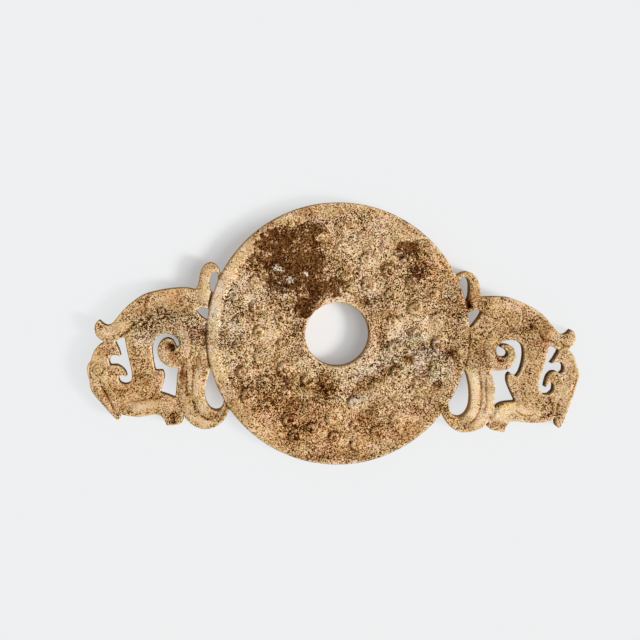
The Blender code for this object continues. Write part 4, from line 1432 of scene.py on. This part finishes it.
        colour = self.ramp(graph, tone)
        tints = (masks["ochre"], self.ochre_tint), (masks["olive"], self.olive_tint), (stain, self.stain_tint)
        for mask, tint in tints:
            colour = graph.mix(mask, colour, (*tint, 1.0), "MULTIPLY")
        drift = graph.use(hue_group(), Place=shifted, Strength=self.hue_strength).outputs["Tint"]
        colour = graph.mix(1.0, colour, drift, "MULTIPLY")
        crust = patch(fields["crust"], 0.55, 3.2, 0.16)
        crust = graph.math("MULTIPLY", crust, graph.step(fields["crust"], 0.03, 0.3))
        colour = graph.mix(graph.math("MULTIPLY", crust, 0.94), colour, self.stone(self.crust))

        # The walls are stained brown; painted shade darkens them towards their foot, most of all by the
        # heads, and painted light makes them ochre under the top edge
        up = graph.node("ShaderNodeSeparateXYZ")
        graph.feed(up.inputs["Vector"], place)
        risen = moved(up.outputs["Z"], mottle, 6.0)
        far = graph.step(graph.math("ABSOLUTE", up.outputs["X"]), 42.0, 54.0)
        foot = graph.mix(far, self.stone(self.wall_foot_stain_and_shade), self.stone(self.head_wall_foot_stain_and_shade))
        wall = graph.mix(graph.step(risen, 3.8, 5.1), foot, self.stone(self.lit_wall_top))
        colour = graph.mix(graph.math("MULTIPLY", fields["wall"], 0.92), colour, wall)

        height = graph.math("MULTIPLY", mottle, 1.2)
        height = moved(height, specks, -0.5)
        height = moved(height, cracked, -0.6)
        height = moved(height, crust, 0.8)
        return colour, height


@dataclass(frozen=True)
class GlowingFloorFinish:
    """The floor: plain, pale and matt, with a painted glow of light that keeps the openings bright.

    Its look where nothing shades it is `level`. The glow makes up more of that in two steps away from the
    bore, so the shadows are deep in it, softer round the disc, and faint by the slender beasts.
    """

    level: float = 0.868
    light: float = 1.187
    deep_glow: float = 0.2
    disc_glow: float = 0.34
    faint_glow: float = 0.72
    middle: tuple[float, float] = (-3.0, 4.0)
    flattening: float = 1.6
    deep_edge: tuple[float, float] = (20.0, 30.0)
    faint_edge: tuple[float, float] = (44.0, 60.0)

    def material(self) -> bpy.types.Material:
        """Builds the floor's material."""
        made = bpy.data.materials.new("glowing_floor")
        made.use_nodes = True
        graph = Graph(made.node_tree)
        mapping = graph.node("ShaderNodeMapping")
        mapping.inputs["Scale"].default_value = (1 / MM, self.flattening / MM, 1 / MM)
        graph.feed(mapping.inputs["Vector"], graph.node("ShaderNodeTexCoord").outputs["Object"])
        apart = graph.node("ShaderNodeVectorMath", operation="DISTANCE")
        graph.feed(apart.inputs[0], mapping.outputs["Vector"])
        apart.inputs[1].default_value = (self.middle[0], self.middle[1] * self.flattening, 0.0)
        rise = graph.step(apart.outputs["Value"], *self.faint_edge, 0.0, self.faint_glow - self.disc_glow)
        near = graph.step(apart.outputs["Value"], *self.deep_edge, self.deep_glow, self.disc_glow)
        glow = graph.math("ADD", near, rise)
        shade = graph.math("DIVIDE", graph.math("SUBTRACT", self.level, glow), self.light)
        shader = made.node_tree.nodes["Principled BSDF"]
        graph.feed(shader.inputs["Base Color"], shade)
        graph.feed(shader.inputs["Emission Strength"], glow)
        shader.inputs["Roughness"].default_value = 1.0
        shader.inputs["Specular IOR Level"].default_value = 0.0
        shader.inputs["Emission Color"].default_value = (0.99, 1.0, 1.01, 1.0)
        return made


# ---------------------------------------------------------------------------------------------------------
# Studio
# ---------------------------------------------------------------------------------------------------------

@dataclass(frozen=True)
class Lamp:
    """An even light from far off: its strength, its height and turn, and how widely it spreads."""

    name: str
    strength: float
    height: float
    turn: float
    spread: float

    def hang(self) -> None:
        """Adds the light to the scene."""
        light = bpy.data.lights.new(self.name, "SUN")
        light.energy = self.strength
        light.angle = self.spread
        lamp = bpy.data.objects.new(self.name, light)
        towards = Vector((
            math.cos(self.height) * math.cos(self.turn),
            math.cos(self.height) * math.sin(self.turn),
            math.sin(self.height),
        ))
        lamp.rotation_euler = towards.to_track_quat("Z", "Y").to_euler()
        bpy.context.scene.collection.objects.link(lamp)


@dataclass
class Studio:
    """The floor, the soft light and the camera above the plaque. Lengths are in millimetres."""

    disc: Disc
    stands_off: Place = (-29.5, 41.0, 425.0)
    looks_at: Place = (-5.5, 4.1, 3.0)
    roll: float = math.radians(1.35)
    lens: float = 79.8
    sensor: float = 36.0
    floor_half: float = 4000.0
    lamps: tuple[Lamp, ...] = (
        Lamp("broad_key", 1.54, math.radians(47.0), math.radians(-16.0), math.radians(45.0)),
        Lamp("low_key", 2.7, math.radians(34.0), math.radians(-17.0), math.radians(14.0)),
    )
    fill_strength: float = 0.36

    def build(self) -> None:
        """Makes the floor, the lights and the camera."""
        self.floor()
        for lamp in self.lamps:
            lamp.hang()
        self.fill_light()
        self.camera()
        bpy.context.scene.view_settings.view_transform = "Standard"

    def floor(self) -> None:
        """A wide flat sheet that the plaque lies on."""
        half = self.floor_half * MM
        mesh = bpy.data.meshes.new("floor")
        corners = [(-half, -half, 0.0), (half, -half, 0.0), (half, half, 0.0), (-half, half, 0.0)]
        mesh.from_pydata(corners, [], [(0, 1, 2, 3)])
        mesh.materials.append(GlowingFloorFinish().material())
        floor = bpy.data.objects.new("floor", mesh)
        bpy.context.scene.collection.objects.link(floor)

    def fill_light(self) -> None:
        """Even light from all round."""
        world = bpy.data.worlds.new("fill")
        world.use_nodes = True
        background = world.node_tree.nodes["Background"]
        background.inputs["Color"].default_value = (1.0, 1.0, 1.0, 1.0)
        background.inputs["Strength"].default_value = self.fill_strength
        bpy.context.scene.world = world

    def camera(self) -> None:
        """A long lens that looks almost straight down, its top towards +Y."""
        eye = Vector((self.stands_off[0] + self.disc.centre_x, *self.stands_off[1:])) * MM
        target = Vector((self.looks_at[0] + self.disc.centre_x, *self.looks_at[1:])) * MM
        back = (eye - target).normalized()
        up = Vector((0.0, 1.0, 0.0))
        up = (up - back * up.dot(back)).normalized()
        right = up.cross(back)
        turn = right * math.cos(self.roll) + up * math.sin(self.roll)
        up = back.cross(turn)
        data = bpy.data.cameras.new("camera")
        data.lens = self.lens
        data.sensor_width = self.sensor
        data.clip_start = 0.01
        camera = bpy.data.objects.new("camera", data)
        camera.matrix_world = (
            (*turn, 0.0), (*up, 0.0), (*back, 0.0), (*eye, 1.0),
        )
        bpy.context.scene.collection.objects.link(camera)
        bpy.context.scene.camera = camera


# ---------------------------------------------------------------------------------------------------------
# Making
# ---------------------------------------------------------------------------------------------------------

def measured_disc() -> Disc:
    """The disc's sizes: its radius is the frame's half depth."""
    low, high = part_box(NODE)
    return Disc(radius=(high.y - low.y) / 2 / MM)


def main() -> None:
    """Builds the plaque, dresses it, and sets it in its studio."""
    logging.basicConfig(level=logging.INFO, format="%(name)s: %(message)s")
    disc = measured_disc()
    beasts_x = disc.centre_x + BEAST_SHIFT
    beasts = [
        Beast("left", -1, beasts_x, LEFT_STROKES, (71.4, -11.7), 0.75, [
            (49.7, -4.7, 1.1, 1.3), (60.9, -9.9, 0.45, 0.5), (58.0, 2.2, 0.6, 0.35), (58.9, 3.4, 0.4, 0.4),
            (61.9, -8.5, 0.5, 0.3),
        ]),
        Beast("right", 1, beasts_x, RIGHT_STROKES, (70.4, -10.6), 0.45, [
            (48.4, 11.8, 0.45, 0.6), (66.6, -20.0, 0.35, 0.6), (61.6, -24.0, 0.4, 0.4),
            (57.8, 3.6, 0.8, 0.35), (42.8, -13.3, 0.4, 0.4),
        ]),
    ]
    outline = Outline(disc)
    outline.read(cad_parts[NODE])
    plaque = Plaque(disc, outline, CurlField(disc), beasts, Weathering()).build()
    plaque.data.materials.append(JadeFinish().material())
    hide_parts(NODE)
    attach(plaque, BODY)
    Studio(disc).build()


if __name__ == "__main__":
    main()
